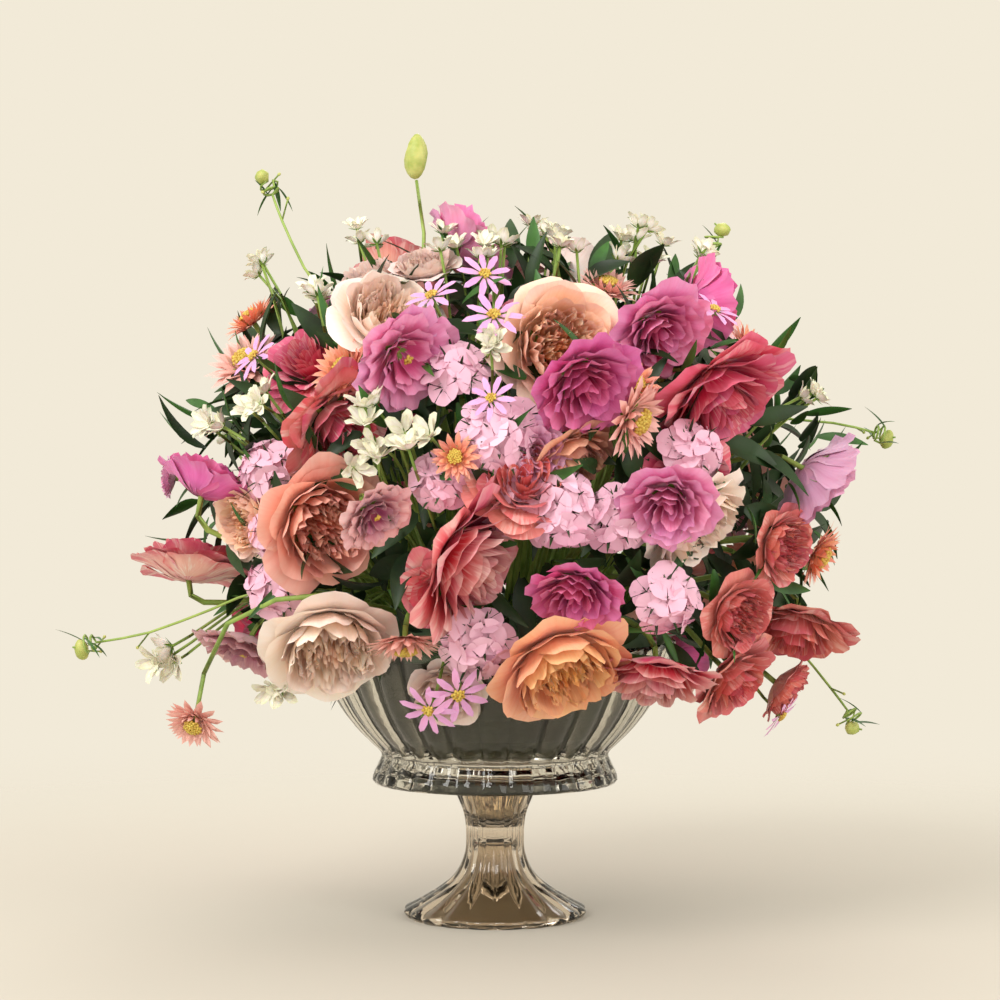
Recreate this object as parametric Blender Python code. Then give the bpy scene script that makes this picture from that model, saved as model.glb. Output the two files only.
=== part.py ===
"""Floral table centrepiece: a footed, fluted glass bowl holding wet foam and a dome of cut flowers.

The origin is the middle of the foot's underside, +Z is up, and the front faces -Y. Units are metres.
Every bloom is one closed body: a stem pushed into the foam, swept into the plain shape of its head.
"""

import math
from dataclasses import dataclass

import bmesh
import bpy
from mathutils import Vector

# ---- driving dimensions ----
CLEARANCE = 0.0005  # between pieces that lie against each other

FOOT_RADIUS = 0.069
FOOT_HOLLOW_RADIUS = 0.0605
WAIST_RADIUS = 0.022  # the narrowest part of the stem
SOCKET_FLOOR = 0.0685
PEDESTAL_HEIGHT = 0.104
PEDESTAL_FLUTES = 20
FLUTE_DEPTH = 0.055  # share of the radius

COLLAR_RADIUS = 0.0925
BOWL_SEAT = PEDESTAL_HEIGHT + CLEARANCE
RIM_RADIUS = 0.136
RIM_HEIGHT = 0.2085
BOWL_FLUTES = 30
BOWL_FLUTE_DEPTH = 0.032
PEG_FLUTE_DEPTH = 0.05
ROUND_STEPS = 60  # facets round the glass, a multiple of both flute counts
INNER_STEPS = 30  # facets round the lining and the foam

LINING_THICKNESS = 0.0012
LINING_TOP = 0.2
FOAM_EDGE_RADIUS = 0.119
FOAM_EDGE_HEIGHT = 0.206
FOAM_CROWN = 0.036  # rise of the domed top above its edge

STEM_RADIUS = 0.002
STEM_DEPTH = 0.022  # how far each stem is pushed into the foam
STEM_SIDES = 8
ENTRY_REACH = 0.107  # the widest ring of stems on the foam
ENTRY_SPACING = 0.0115  # between neighbouring stems, seen from above
LOWEST_STEM = math.radians(-50)
FOAM_FOCUS = Vector((0.0, 0.0, 0.145))  # where the stems aim
FACING_DROOP = 0.75  # how much of the dome's tilt a head keeps

# The dome of flowers: half an ellipsoid above its middle, a fuller one below.
DOME_MIDDLE = Vector((0.010, 0.0, 0.330))
DOME_ACROSS = 0.252
DOME_DEPTH = 0.205
DOME_RISE = 0.180
DOME_FALL = 0.265
LEAST_BULGE = 0.03

FRONT = -1
BACK = 1
MM = 0.001

# ---- colours (linear RGB), roughness ----
FINISHES = {
    "clear_glass": ((0.55, 0.50, 0.42), 0.05),
    "wet_foam": ((0.05, 0.11, 0.04), 0.9),
    "dark_leaf": ((0.03, 0.07, 0.02), 0.5),
    "peach_petal": ((0.90, 0.48, 0.24), 0.6),
    "striped_petal": ((0.72, 0.05, 0.14), 0.6),
    "pink_petal": ((0.72, 0.18, 0.40), 0.6),
    "coral_petal": ((0.86, 0.28, 0.19), 0.6),
    "floret_petal": ((0.70, 0.30, 0.40), 0.6),
    "green_bud": ((0.30, 0.36, 0.08), 0.6),
}

# ---- heads: (distance along the axis, radius) as shares of the head's radius, base to crown ----
CUP_HEAD = ((-0.62, 0.16), (-0.48, 0.52), (-0.12, 0.9), (0.14, 1.0), (0.34, 0.8), (0.42, 0.4))
OPEN_HEAD = ((-0.56, 0.14), (-0.4, 0.36), (0.0, 0.82), (0.2, 1.0), (0.3, 0.84), (0.16, 0.36))
FLAT_HEAD = ((-0.5, 0.16), (-0.36, 0.34), (-0.06, 0.92), (0.08, 1.0), (0.22, 0.72), (0.3, 0.34))
BUD_HEAD = ((-1.3, 0.3), (-0.9, 0.85), (-0.2, 1.0), (0.6, 0.8), (1.3, 0.4))

# each bloom: (across, height, head radius, lift off the dome), in millimetres
FRONT_GARDEN_ROSES = (
    (-74, 451, 31, 0),
    (50, 428, 36, -4),
    (-117, 298, 35, -2),
    (-113, 209, 37, 4),
    (49, 196, 38, 6),
    (149, 296, 33, -6),
    (60, 342, 26, -22),
)
BACK_GARDEN_ROSES = ((95, 215, 38, 0), (-45, 330, 38, 8), (105, 385, 35, 0), (62, 482, 31, 0))
FRONT_STRIPED_ROSES = (
    (-9, 269, 42, 0),
    (166, 382, 40, 0),
    (-110, 372, 33, -18),
    (-224, 271, 30, 0),
    (112, 184, 32, 0),
    (222, 211, 31, 0),
)
BACK_STRIPED_ROSES = ((-120, 250, 38, 0), (30, 275, 38, 0), (-105, 405, 35, 0), (-68, 484, 31, 0))
FRONT_LISIANTHUS = (
    (-56, 409, 29, 8),
    (62, 385, 30, 22),
    (121, 433, 28, 0),
    (161, 460, 26, 0),
    (111, 312, 27, 24),
    (53, 252, 26, 14),
    (-72, 306, 20, 22),
    (-206, 331, 27, 0),
    (-186, 198, 29, 0),
    (238, 327, 29, 0),
    (-13, 508, 29, 0),
)
BACK_LISIANTHUS = ((150, 310, 32, 0), (-165, 330, 32, 0), (15, 430, 30, 0), (165, 425, 28, 0))
FRONT_CORAL = (
    (-185, 425, 26, 0),
    (103, 366, 26, 12),
    (198, 431, 25, 0),
    (249, 268, 23, 0),
    (-60, 208, 25, 4),
)
BACK_CORAL = ((-20, 205, 27, 0), (205, 255, 27, 0), (-175, 215, 27, 0))
FRONT_SWEET_WILLIAM = ((2, 360, 26, -4), (8, 316, 22, -16), (-163, 287, 22, -12))
BACK_SWEET_WILLIAM = ((86, 328, 24, 0), (-120, 170, 27, 0))

# The coral bloom that hangs below the left side on its own curved stem.
HANGING_BLOOM = (-0.221, -0.075, 0.147)
HANGING_STEM = ((-0.112, -0.17, 0.252), (-0.153, -0.148, 0.247), (-0.19, -0.118, 0.228), (-0.21, -0.088, 0.19))

# Sprigs: the free ends that set the outline, each a route from the dome's edge out to a bud.
SPRIGS = {
    "tall_bud_stem": ((-0.05, -0.055, 0.47), (-0.052, -0.048, 0.51), (-0.058, -0.03, 0.55), (-0.0545, -0.03, 0.5845)),
    "left_bud_sprig": ((-0.16, -0.1, 0.252), (-0.205, -0.085, 0.236), (-0.252, -0.066, 0.218), (-0.309, -0.06, 0.207)),
    "right_bud_sprig": ((0.15, 0.06, 0.38), (0.2, 0.058, 0.376), (0.26, 0.05, 0.371), (0.3085, 0.055, 0.36)),
    "low_right_sprig": ((0.19, 0.0, 0.24), (0.225, 0.0, 0.205), (0.252, -0.008, 0.172), (0.274, -0.02, 0.142)),
    "wispy_sprig": ((-0.115, -0.05, 0.44), (-0.14, -0.05, 0.485), (-0.157, -0.035, 0.52), (-0.171, -0.02, 0.556)),
    "clawed_seed_head": ((0.13, -0.02, 0.45), (0.148, -0.02, 0.482), (0.163, -0.01, 0.495), (0.164, -0.01, 0.52)),
}
HANGING_FACING = (-0.25, -0.75, -0.6)
HANGING_RADIUS = 0.019
SPRIG_BUD_RADIUS = 0.007
SPRIG_STEM_RADIUS = 0.0014


def clear_scene():
    for item in list(bpy.data.objects):
        bpy.data.objects.remove(item, do_unlink=True)


def finish_material(finish):
    """The material of a finish, made once."""
    known = bpy.data.materials.get(finish)
    if known:
        return known
    colour, roughness = FINISHES[finish]
    material = bpy.data.materials.new(finish)
    material.use_nodes = True
    shader = material.node_tree.nodes["Principled BSDF"]
    shader.inputs["Base Color"].default_value = (*colour, 1.0)
    shader.inputs["Roughness"].default_value = roughness
    shader.inputs["Metallic"].default_value = 0.0
    if finish == "clear_glass":
        shader.inputs["Transmission Weight"].default_value = 0.9
    return material


def add_object(name, mesh_builder, finish):
    """An object from a bmesh, with outward faces and smooth shading."""
    mesh = bpy.data.meshes.new(name)
    bmesh.ops.recalc_face_normals(mesh_builder, faces=mesh_builder.faces)
    mesh_builder.to_mesh(mesh)
    mesh_builder.free()
    mesh.materials.append(finish_material(finish))
    mesh.shade_smooth()
    mesh.set_sharp_from_angle(angle=math.radians(40))
    item = bpy.data.objects.new(name, mesh)
    bpy.context.scene.collection.objects.link(item)
    return item


def offset_outline(points, distance):
    """The (radius, height) outline moved towards the axis, square to its own run."""
    moved = []
    for index, (radius, height) in enumerate(points):
        before = points[max(index - 1, 0)]
        after = points[min(index + 1, len(points) - 1)]
        run = Vector((after[0] - before[0], after[1] - before[1])).normalized()
        inward = 0.0 if radius == 0.0 else -run.y * distance
        moved.append((radius + inward, height + run.x * distance))
    return moved


def outline_radius(points, height):
    """The outline's radius at a height."""
    for (low_radius, low), (high_radius, high) in zip(points, points[1:]):
        if low <= height <= high:
            return low_radius + (high_radius - low_radius) * (height - low) / (high - low)
    return points[-1][0]


def turned_body(name, outline, finish, flutes=0, steps=ROUND_STEPS):
    """A closed turned body. Outline points are (radius, height, flute depth); it starts and ends on the axis."""
    builder = bmesh.new()
    depth_layer = builder.verts.layers.float.new("flute_depth")
    corners = []
    for radius, height, depth in outline:
        corner = builder.verts.new((radius, 0.0, height))
        corner[depth_layer] = depth
        corners.append(corner)
    edges = [builder.edges.new(pair) for pair in zip(corners, corners[1:])]
    bmesh.ops.spin(
        builder,
        geom=corners + edges,
        cent=(0, 0, 0),
        axis=(0, 0, 1),
        angle=math.tau,
        steps=steps,
        use_merge=True,
    )
    bmesh.ops.remove_doubles(builder, verts=builder.verts, dist=1e-6)
    for corner in builder.verts:
        share = 0.5 - 0.5 * math.cos(flutes * math.atan2(corner.co.y, corner.co.x))
        scale = 1.0 - corner[depth_layer] * share
        corner.co.x *= scale
        corner.co.y *= scale
    return add_object(name, builder, finish)


# ---- the glass ----
PEG_OUTLINE = ((0.0158, 0.07), (0.0205, 0.081), (0.0243, 0.0915), (0.025, BOWL_SEAT))
BOWL_INSIDE = (
    (0.0, 0.1213),
    (0.068, 0.1222),
    (0.083, 0.1275),
    (0.098, 0.1412),
    (0.111, 0.158),
    (0.1215, 0.178),
    (0.128, 0.195),
    (0.1315, 0.206),
)


def pedestal():
    deep = FLUTE_DEPTH
    outline = [
        (0.0, SOCKET_FLOOR, 0.0),
        (0.0168, SOCKET_FLOOR, 0.0),
        (0.0216, 0.0805, 0.0),
        (0.0254, 0.0915, 0.0),
        (0.0262, PEDESTAL_HEIGHT, 0.0),
        (0.0305, PEDESTAL_HEIGHT, 0.0),
        (0.0315, 0.0985, deep * 0.3),
        (0.029, 0.091, deep),
        (0.0245, 0.08, deep),
        (0.0225, 0.07, deep),
        (WAIST_RADIUS, 0.059, deep),
        (0.0228, 0.048, deep),
        (0.0275, 0.0355, deep),
        (0.0345, 0.027, deep),
        (0.0445, 0.0195, deep),
        (0.058, 0.0115, deep),
        (0.0675, 0.0065, deep),
        (FOOT_RADIUS, 0.0035, deep * 0.8),
        (0.067, 0.0, deep * 0.5),
        (FOOT_HOLLOW_RADIUS, 0.0, 0.0),
        (0.0545, 0.0055, 0.0),
        (0.041, 0.0145, 0.0),
        (0.0285, 0.024, 0.0),
        (0.0205, 0.036, 0.0),
        (0.0165, 0.048, 0.0),
        (0.0115, 0.058, 0.0),
        (0.0, 0.0605, 0.0),
    ]
    return turned_body("glass_pedestal", outline, "clear_glass", PEDESTAL_FLUTES)


def bowl():
    deep = BOWL_FLUTE_DEPTH
    peg = [(radius, height, 0.0) for radius, height in PEG_OUTLINE]
    outline = [
        (0.0, PEG_OUTLINE[0][1], 0.0),
        *peg,
        (0.034, BOWL_SEAT, 0.0),
        (0.038, 0.1085, 0.0),
        (0.078, 0.1095, 0.0),
        (0.0845, 0.1065, 0.0),
        (0.0885, 0.1025, 0.0),
        (0.0908, 0.1015, deep * 0.4),
        (COLLAR_RADIUS, 0.1035, deep * 0.7),
        (0.0915, 0.1085, deep),
        (0.0875, 0.117, deep),
        (0.0858, 0.1235, deep),
        (0.0925, 0.1305, deep),
        (0.1045, 0.1425, deep),
        (0.117, 0.159, deep),
        (0.1275, 0.179, deep),
        (0.1335, 0.196, deep),
        (RIM_RADIUS, 0.206, deep * 0.5),
        (0.1345, RIM_HEIGHT, 0.0),
    ]
    outline += [(radius, height, 0.0) for radius, height in reversed(BOWL_INSIDE)]
    return turned_body("glass_bowl", outline, "clear_glass", BOWL_FLUTES)


def upper_edge(points, height):
    """The outline's lower stretch, cut off at a height."""
    kept = [point for point in points if point[1] < height]
    return kept + [(outline_radius(points, height), height)]


def lining():
    outside = upper_edge(offset_outline(BOWL_INSIDE, CLEARANCE), LINING_TOP)
    inside = upper_edge(offset_outline(BOWL_INSIDE, CLEARANCE + LINING_THICKNESS), LINING_TOP)
    outline = [(radius, height, 0.0) for radius, height in outside + inside[::-1]]
    return turned_body("leaf_lining", outline, "dark_leaf", steps=INNER_STEPS)


def foam_crown_height(radius):
    """Height of the foam's domed top at a distance from the axis."""
    share = min(radius / FOAM_EDGE_RADIUS, 1.0)
    return FOAM_EDGE_HEIGHT + FOAM_CROWN * math.sqrt(1.0 - share * share)


def foam(stem_entries):
    """The foam block, with a hole for each stem."""
    wall = offset_outline(BOWL_INSIDE, 2 * CLEARANCE + LINING_THICKNESS)
    outline = [(radius, height, 0.0) for radius, height in wall if height < 0.196]
    for step in range(1, 7):
        angle = 0.5 * math.pi * step / 6
        radius = FOAM_EDGE_RADIUS * math.cos(angle)
        outline.append((radius if step < 6 else 0.0, foam_crown_height(radius), 0.0))
    block = turned_body("floral_foam", outline, "wet_foam", steps=INNER_STEPS)
    block.data.shade_flat()
    holes = bmesh.new()
    for entry, aim in stem_entries:
        add_hole(holes, entry, aim)
    cutter = add_object("stem_holes", holes, "wet_foam")
    cutter.hide_render = True
    cutter.display_type = "WIRE"
    cut = block.modifiers.new("stem_holes", "BOOLEAN")
    cut.operation = "DIFFERENCE"
    cut.solver = "EXACT"
    cut.object = cutter
    return block


def add_hole(holes, entry, aim):
    """A cylinder along a stem's buried end, with clearance round it and below it."""
    length = STEM_DEPTH + 0.018
    middle = entry + aim * (0.009 - 0.5 * STEM_DEPTH - CLEARANCE)
    placed = aim.to_track_quat("Z", "Y").to_matrix().to_4x4()
    placed.translation = middle
    bmesh.ops.create_cone(
        holes,
        cap_ends=True,
        segments=8,
        radius1=STEM_RADIUS + 1.2 * CLEARANCE,
        radius2=STEM_RADIUS + 1.2 * CLEARANCE,
        depth=length,
        matrix=placed,
    )


# ---- the flowers ----
def dome_seat(across, height, lift, side):
    """Head centre on the dome and the outward direction there."""
    x = across - DOME_MIDDLE.x
    z = height - DOME_MIDDLE.z
    tall = DOME_RISE if z > 0 else DOME_FALL
    bulge = math.sqrt(max(1.0 - (x / DOME_ACROSS) ** 2 - (z / tall) ** 2, LEAST_BULGE))
    depth = side * DOME_DEPTH * bulge
    outward = Vector((x / DOME_ACROSS**2, depth / DOME_DEPTH**2, z / tall**2)).normalized()
    facing = Vector((outward.x, outward.y, outward.z * FACING_DROOP)).normalized()
    centre = Vector((across, depth, height)) + outward * lift
    return centre, facing


def stem_entry(target):
    """Where the stem of a head at the target would enter the foam's crown, seen from above."""
    sight = target - DOME_MIDDLE
    steepness = math.atan2(sight.z, math.hypot(sight.x, sight.y))
    reach = ENTRY_REACH * (1.0 - (steepness - LOWEST_STEM) / (0.5 * math.pi - LOWEST_STEM) * 0.92)
    turn = math.atan2(sight.y, sight.x)
    return Vector((math.cos(turn), math.sin(turn))) * reach


def spread_entries(targets):
    """Entry point and aim of every stem, the entries moved apart until no two crowd each other."""
    spots = [stem_entry(target) for target in targets]
    for _ in range(200):
        for index, spot in enumerate(spots):
            for other in spots[:index]:
                apart = spot - other
                if apart.length < ENTRY_SPACING:
                    push = apart.normalized() * (ENTRY_SPACING - apart.length) * 0.5
                    spot += push
                    other -= push
        for spot in spots:
            if spot.length > ENTRY_REACH:
                spot *= ENTRY_REACH / spot.length
    entries = []
    for spot in spots:
        entry = Vector((spot.x, spot.y, foam_crown_height(spot.length)))
        entries.append((entry, (entry - FOAM_FOCUS).normalized()))
    return entries


def bezier(start, first, second, end, share):
    rest = 1.0 - share
    return (
        start * rest**3
        + first * (3 * rest * rest * share)
        + second * (3 * rest * share * share)
        + end * share**3
    )


def stem_route(entry, aim, base, facing):
    """Points along a stem: straight out of the foam, then bending over to the back of its head."""
    start = entry + aim * 0.008
    reach = (base - start).length
    points = [entry - aim * STEM_DEPTH, start]
    for step in range(1, 4):
        points.append(
            bezier(start, start + aim * reach * 0.5, base - facing * reach * 0.35, base, step / 4)
        )
    return points


def smooth_route(points, per_span=2):
    """Points on a Catmull-Rom curve through the given points."""
    ends = [points[0] * 2 - points[1], *points, points[-1] * 2 - points[-2]]
    route = []
    for index in range(1, len(ends) - 2):
        a, b, c, d = ends[index - 1 : index + 3]
        for step in range(per_span):
            t = step / per_span
            route.append(
                0.5 * (2 * b + (c - a) * t + (2 * a - 5 * b + 4 * c - d) * t * t + (3 * b - a - 3 * c + d) * t**3)
            )
    return route + [points[-1]]


def swept_body(name, route, widths, petal_share, finish):
    """One closed body along a route. Each width is a radius; heads are scalloped by the petal share."""
    builder = bmesh.new()
    side = (route[1] - route[0]).orthogonal().normalized()
    rings = []
    for index, centre in enumerate(route):
        before = route[max(index - 1, 0)]
        after = route[min(index + 1, len(route) - 1)]
        along = (after - before).normalized()
        side = (side - along * side.dot(along)).normalized()
        other = along.cross(side)
        ring = []
        for corner in range(STEM_SIDES):
            angle = math.tau * corner / STEM_SIDES
            scallop = 1.0 - (petal_share if corner % 2 and widths[index] > 3 * STEM_RADIUS else 0.0)
            radius = widths[index] * scallop
            ring.append(builder.verts.new(centre + (side * math.cos(angle) + other * math.sin(angle)) * radius))
        rings.append(ring)
    loops = [[builder.edges.new((ring[i - 1], ring[i])) for i in range(STEM_SIDES)] for ring in rings]
    for low, high in zip(loops, loops[1:]):
        bmesh.ops.bridge_loops(builder, edges=low + high)
    for ring in (rings[0], rings[-1]):
        cap = builder.faces.new(ring)
        bmesh.ops.poke(builder, faces=[cap])
    return add_object(name, builder, finish)


@dataclass
class Bloom:
    """A bloom or sprig before its stem is known."""

    name: str
    centre: Vector
    facing: Vector
    radius: float
    head: tuple
    petal_share: float
    finish: str
    stem_radius: float = STEM_RADIUS
    via: tuple = ()

    def target(self):
        """The point that the stem first heads for."""
        return self.via[0] if self.via else self.centre

    def build(self, entry, aim):
        """The bloom as one body: its stem from the foam, then the rings of its head."""
        base = self.centre + self.facing * self.radius * self.head[0][0]
        if self.via:
            path = [entry - aim * STEM_DEPTH, entry + aim * 0.008]
            path += smooth_route([entry + aim * 0.025, *self.via, base])[:-1]
        else:
            path = stem_route(entry, aim, base, self.facing)[:-1]
        widths = [self.stem_radius] * len(path)
        for share, width in self.head:
            path.append(self.centre + self.facing * self.radius * share)
            widths.append(width * self.radius)
        return swept_body(self.name, path, widths, self.petal_share, self.finish)


FAMILIES = (
    ("garden_rose", FRONT_GARDEN_ROSES, BACK_GARDEN_ROSES, CUP_HEAD, 0.1, "peach_petal"),
    ("striped_rose", FRONT_STRIPED_ROSES, BACK_STRIPED_ROSES, CUP_HEAD, 0.14, "striped_petal"),
    ("lisianthus", FRONT_LISIANTHUS, BACK_LISIANTHUS, CUP_HEAD, 0.12, "pink_petal"),
    ("coral_bloom", FRONT_CORAL, BACK_CORAL, OPEN_HEAD, 0.12, "coral_petal"),
    ("sweet_william", FRONT_SWEET_WILLIAM, BACK_SWEET_WILLIAM, FLAT_HEAD, 0.08, "floret_petal"),
)


def dome_blooms():
    """The blooms that sit on the dome, front and back."""
    blooms = []
    for family, front, back, head, petal_share, finish in FAMILIES:
        rows = [(row, FRONT) for row in front] + [(row, BACK) for row in back]
        for number, ((across, height, radius, lift), side) in enumerate(rows, 1):
            centre, facing = dome_seat(across * MM, height * MM, lift * MM, side)
            name = f"{family}_{number:02d}"
            blooms.append(Bloom(name, centre, facing, radius * MM, head, petal_share, finish))
    return blooms


def free_ends():
    """The coral bloom hanging on its own stem, and the sprigs, with the routes of their stems."""
    hanging = Bloom(
        "coral_bloom_hanging",
        Vector(HANGING_BLOOM),
        Vector(HANGING_FACING).normalized(),
        HANGING_RADIUS,
        OPEN_HEAD,
        0.12,
        "coral_petal",
        via=tuple(Vector(point) for point in HANGING_STEM),
    )
    blooms = [hanging]
    for name, points in SPRIGS.items():
        *via, tip = [Vector(point) for point in points]
        facing = (tip - via[-1]).normalized()
        centre = tip - facing * SPRIG_BUD_RADIUS * BUD_HEAD[-1][0]
        blooms.append(
            Bloom(name, centre, facing, SPRIG_BUD_RADIUS, BUD_HEAD, 0.0, "green_bud", SPRIG_STEM_RADIUS, tuple(via))
        )
    return blooms


def main():
    clear_scene()
    pedestal()
    bowl()
    lining()
    blooms = dome_blooms() + free_ends()
    entries = spread_entries([bloom.target() for bloom in blooms])
    for bloom, (entry, aim) in zip(blooms, entries):
        bloom.build(entry, aim)
    foam(entries)


main()
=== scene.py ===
"""Finished look of a floral table centrepiece in a footed, fluted glass bowl.

Every bloom is built petal by petal at the seat its frame node gives. Units are metres, +Z is up and
the front faces -Y.
"""

import logging
import math
import random
from collections.abc import Iterator
from dataclasses import dataclass, field, replace
from enum import Enum

import bmesh
import bpy
import numpy as np
from mathutils import Euler, Matrix, Vector


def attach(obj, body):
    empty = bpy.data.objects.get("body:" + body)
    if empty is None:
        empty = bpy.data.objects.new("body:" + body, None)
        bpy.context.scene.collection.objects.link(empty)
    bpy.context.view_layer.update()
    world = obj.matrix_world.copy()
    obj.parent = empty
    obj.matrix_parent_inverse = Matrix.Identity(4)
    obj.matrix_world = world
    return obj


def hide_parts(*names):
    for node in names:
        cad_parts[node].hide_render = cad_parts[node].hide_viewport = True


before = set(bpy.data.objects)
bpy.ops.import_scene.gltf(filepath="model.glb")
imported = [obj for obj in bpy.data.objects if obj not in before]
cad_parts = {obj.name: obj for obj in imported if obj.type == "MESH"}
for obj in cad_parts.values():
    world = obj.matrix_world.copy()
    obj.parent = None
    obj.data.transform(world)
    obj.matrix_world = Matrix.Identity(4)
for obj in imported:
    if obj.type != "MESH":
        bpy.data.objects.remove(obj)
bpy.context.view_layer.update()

LOG = logging.getLogger("centrepiece")

Colour = tuple[float, float, float]
Outline = list[tuple[float, float, float]]
Socket = bpy.types.NodeSocket

BODY = "root"
BACKDROP: Colour = (0.8880, 0.8228, 0.6867)
FLOOR_SHADE = 0.64
DOME_MIDDLE = Vector((0.010, 0.0, 0.330))
DOME_ACROSS = 0.252
DOME_DEPTH = 0.205
DOME_RISE = 0.180
DOME_FALL = 0.265
LEAST_BULGE = 0.03
LEAF_FOLD = 0.25
POD_RIBS = 5
SEPALS = 5
STEM_POINTS = 10
CORAL_GRAINS = 42
PISTIL_GRAINS = 9
DAISY_GRAINS = 18
FLORET_RADIUS = 0.0118
BRACTS = 26
INNER_LEAVES = 900
OUTER_LEAVES = 230
UP = Vector((0.0, 0.0, 1.0))
FOAM_FOCUS = Vector((0.0, 0.0, 0.145))
HEART_OF_DOME = np.array((0.0, 0.0, 0.2))
BOWL_RIM_HEIGHT = 0.215
BOWL_RIM_RADIUS = 0.142
GOLDEN_TURN = 2.39996


def srgb(code: str) -> Colour:
    """Linear colour of a six-digit colour code.

    Args:
        code: The code, such as "F3D3C5".

    Returns:
        Red, green and blue in linear light.
    """
    parts = [int(code[i : i + 2], 16) / 255 for i in (0, 2, 4)]
    return tuple(p / 12.92 if p <= 0.04045 else ((p + 0.055) / 1.055) ** 2.4 for p in parts)


def dome_seat(across: float, height: float, lift: float, side: int) -> tuple[Vector, Vector]:
    """A point on the dome of flowers.

    Args:
        across: Distance to the right of the axis, in millimetres.
        height: Height above the table, in millimetres.
        lift: Distance out from the dome, in millimetres.
        side: -1 for the front and 1 for the back.

    Returns:
        The point in metres, and the outward direction there.
    """
    x = across * 0.001 - DOME_MIDDLE.x
    z = height * 0.001 - DOME_MIDDLE.z
    tall = DOME_RISE if z > 0 else DOME_FALL
    bulge = math.sqrt(max(1.0 - (x / DOME_ACROSS) ** 2 - (z / tall) ** 2, LEAST_BULGE))
    depth = side * DOME_DEPTH * bulge
    outward = Vector((x / DOME_ACROSS**2, depth / DOME_DEPTH**2, z / tall**2)).normalized()
    return Vector((across * 0.001, depth, height * 0.001)) + outward * lift * 0.001, outward


# ---------------------------------------------------------------- finishes


class NodeCanvas:
    """Short calls for building a node tree."""

    def __init__(self, tree: bpy.types.NodeTree) -> None:
        """Keep the tree to draw in."""
        self.tree = tree

    def add(self, kind: str, **values: object) -> bpy.types.Node:
        """Add a node, set its properties, then its named inputs.

        Args:
            kind: The node's type name.
            values: Properties, and inputs whose names start with "in_".

        Returns:
            The new node.
        """
        node = self.tree.nodes.new(kind)
        for name, value in values.items():
            if not name.startswith("in_"):
                setattr(node, name, value)
        for name, value in values.items():
            if name.startswith("in_"):
                node.inputs[name[3:].replace("_", " ")].default_value = value
        return node

    def link(self, out: Socket, into: Socket) -> None:
        """Join two sockets."""
        self.tree.links.new(out, into)

    def math(self, operation: str, first: object, second: object = 0.0, clamp: bool = False) -> Socket:
        """A Math node.

        Args:
            operation: The operation's name.
            first: A socket or a number.
            second: A socket or a number.
            clamp: Whether the result stays between 0 and 1.

        Returns:
            The result's socket.
        """
        node = self.tree.nodes.new("ShaderNodeMath")
        node.operation = operation
        node.use_clamp = clamp
        for socket, value in zip(node.inputs, (first, second)):
            if isinstance(value, (int, float)):
                socket.default_value = value
            else:
                self.link(value, socket)
        return node.outputs[0]

    def mix(self, share: object, first: object, second: object, blend: str = "MIX") -> Socket:
        """A colour Mix node.

        Args:
            share: A socket or a number, how much of the second colour.
            first: A socket or a colour.
            second: A socket or a colour.
            blend: The blend type.

        Returns:
            The mixed colour's socket.
        """
        node = self.tree.nodes.new("ShaderNodeMix")
        node.data_type = "RGBA"
        node.blend_type = blend
        for socket, value in zip((node.inputs[0], node.inputs[6], node.inputs[7]), (share, first, second)):
            if isinstance(value, Socket):
                self.link(value, socket)
            elif isinstance(value, tuple):
                socket.default_value = (*value, 1.0)
            else:
                socket.default_value = value
        return node.outputs[2]

    def step(self, value: object, low: float, high: float) -> Socket:
        """A smooth step from 0 at low to 1 at high."""
        node = self.tree.nodes.new("ShaderNodeMapRange")
        node.interpolation_type = "SMOOTHSTEP"
        self.link(value, node.inputs[0])
        node.inputs[1].default_value = low
        node.inputs[2].default_value = high
        return node.outputs[0]


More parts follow.
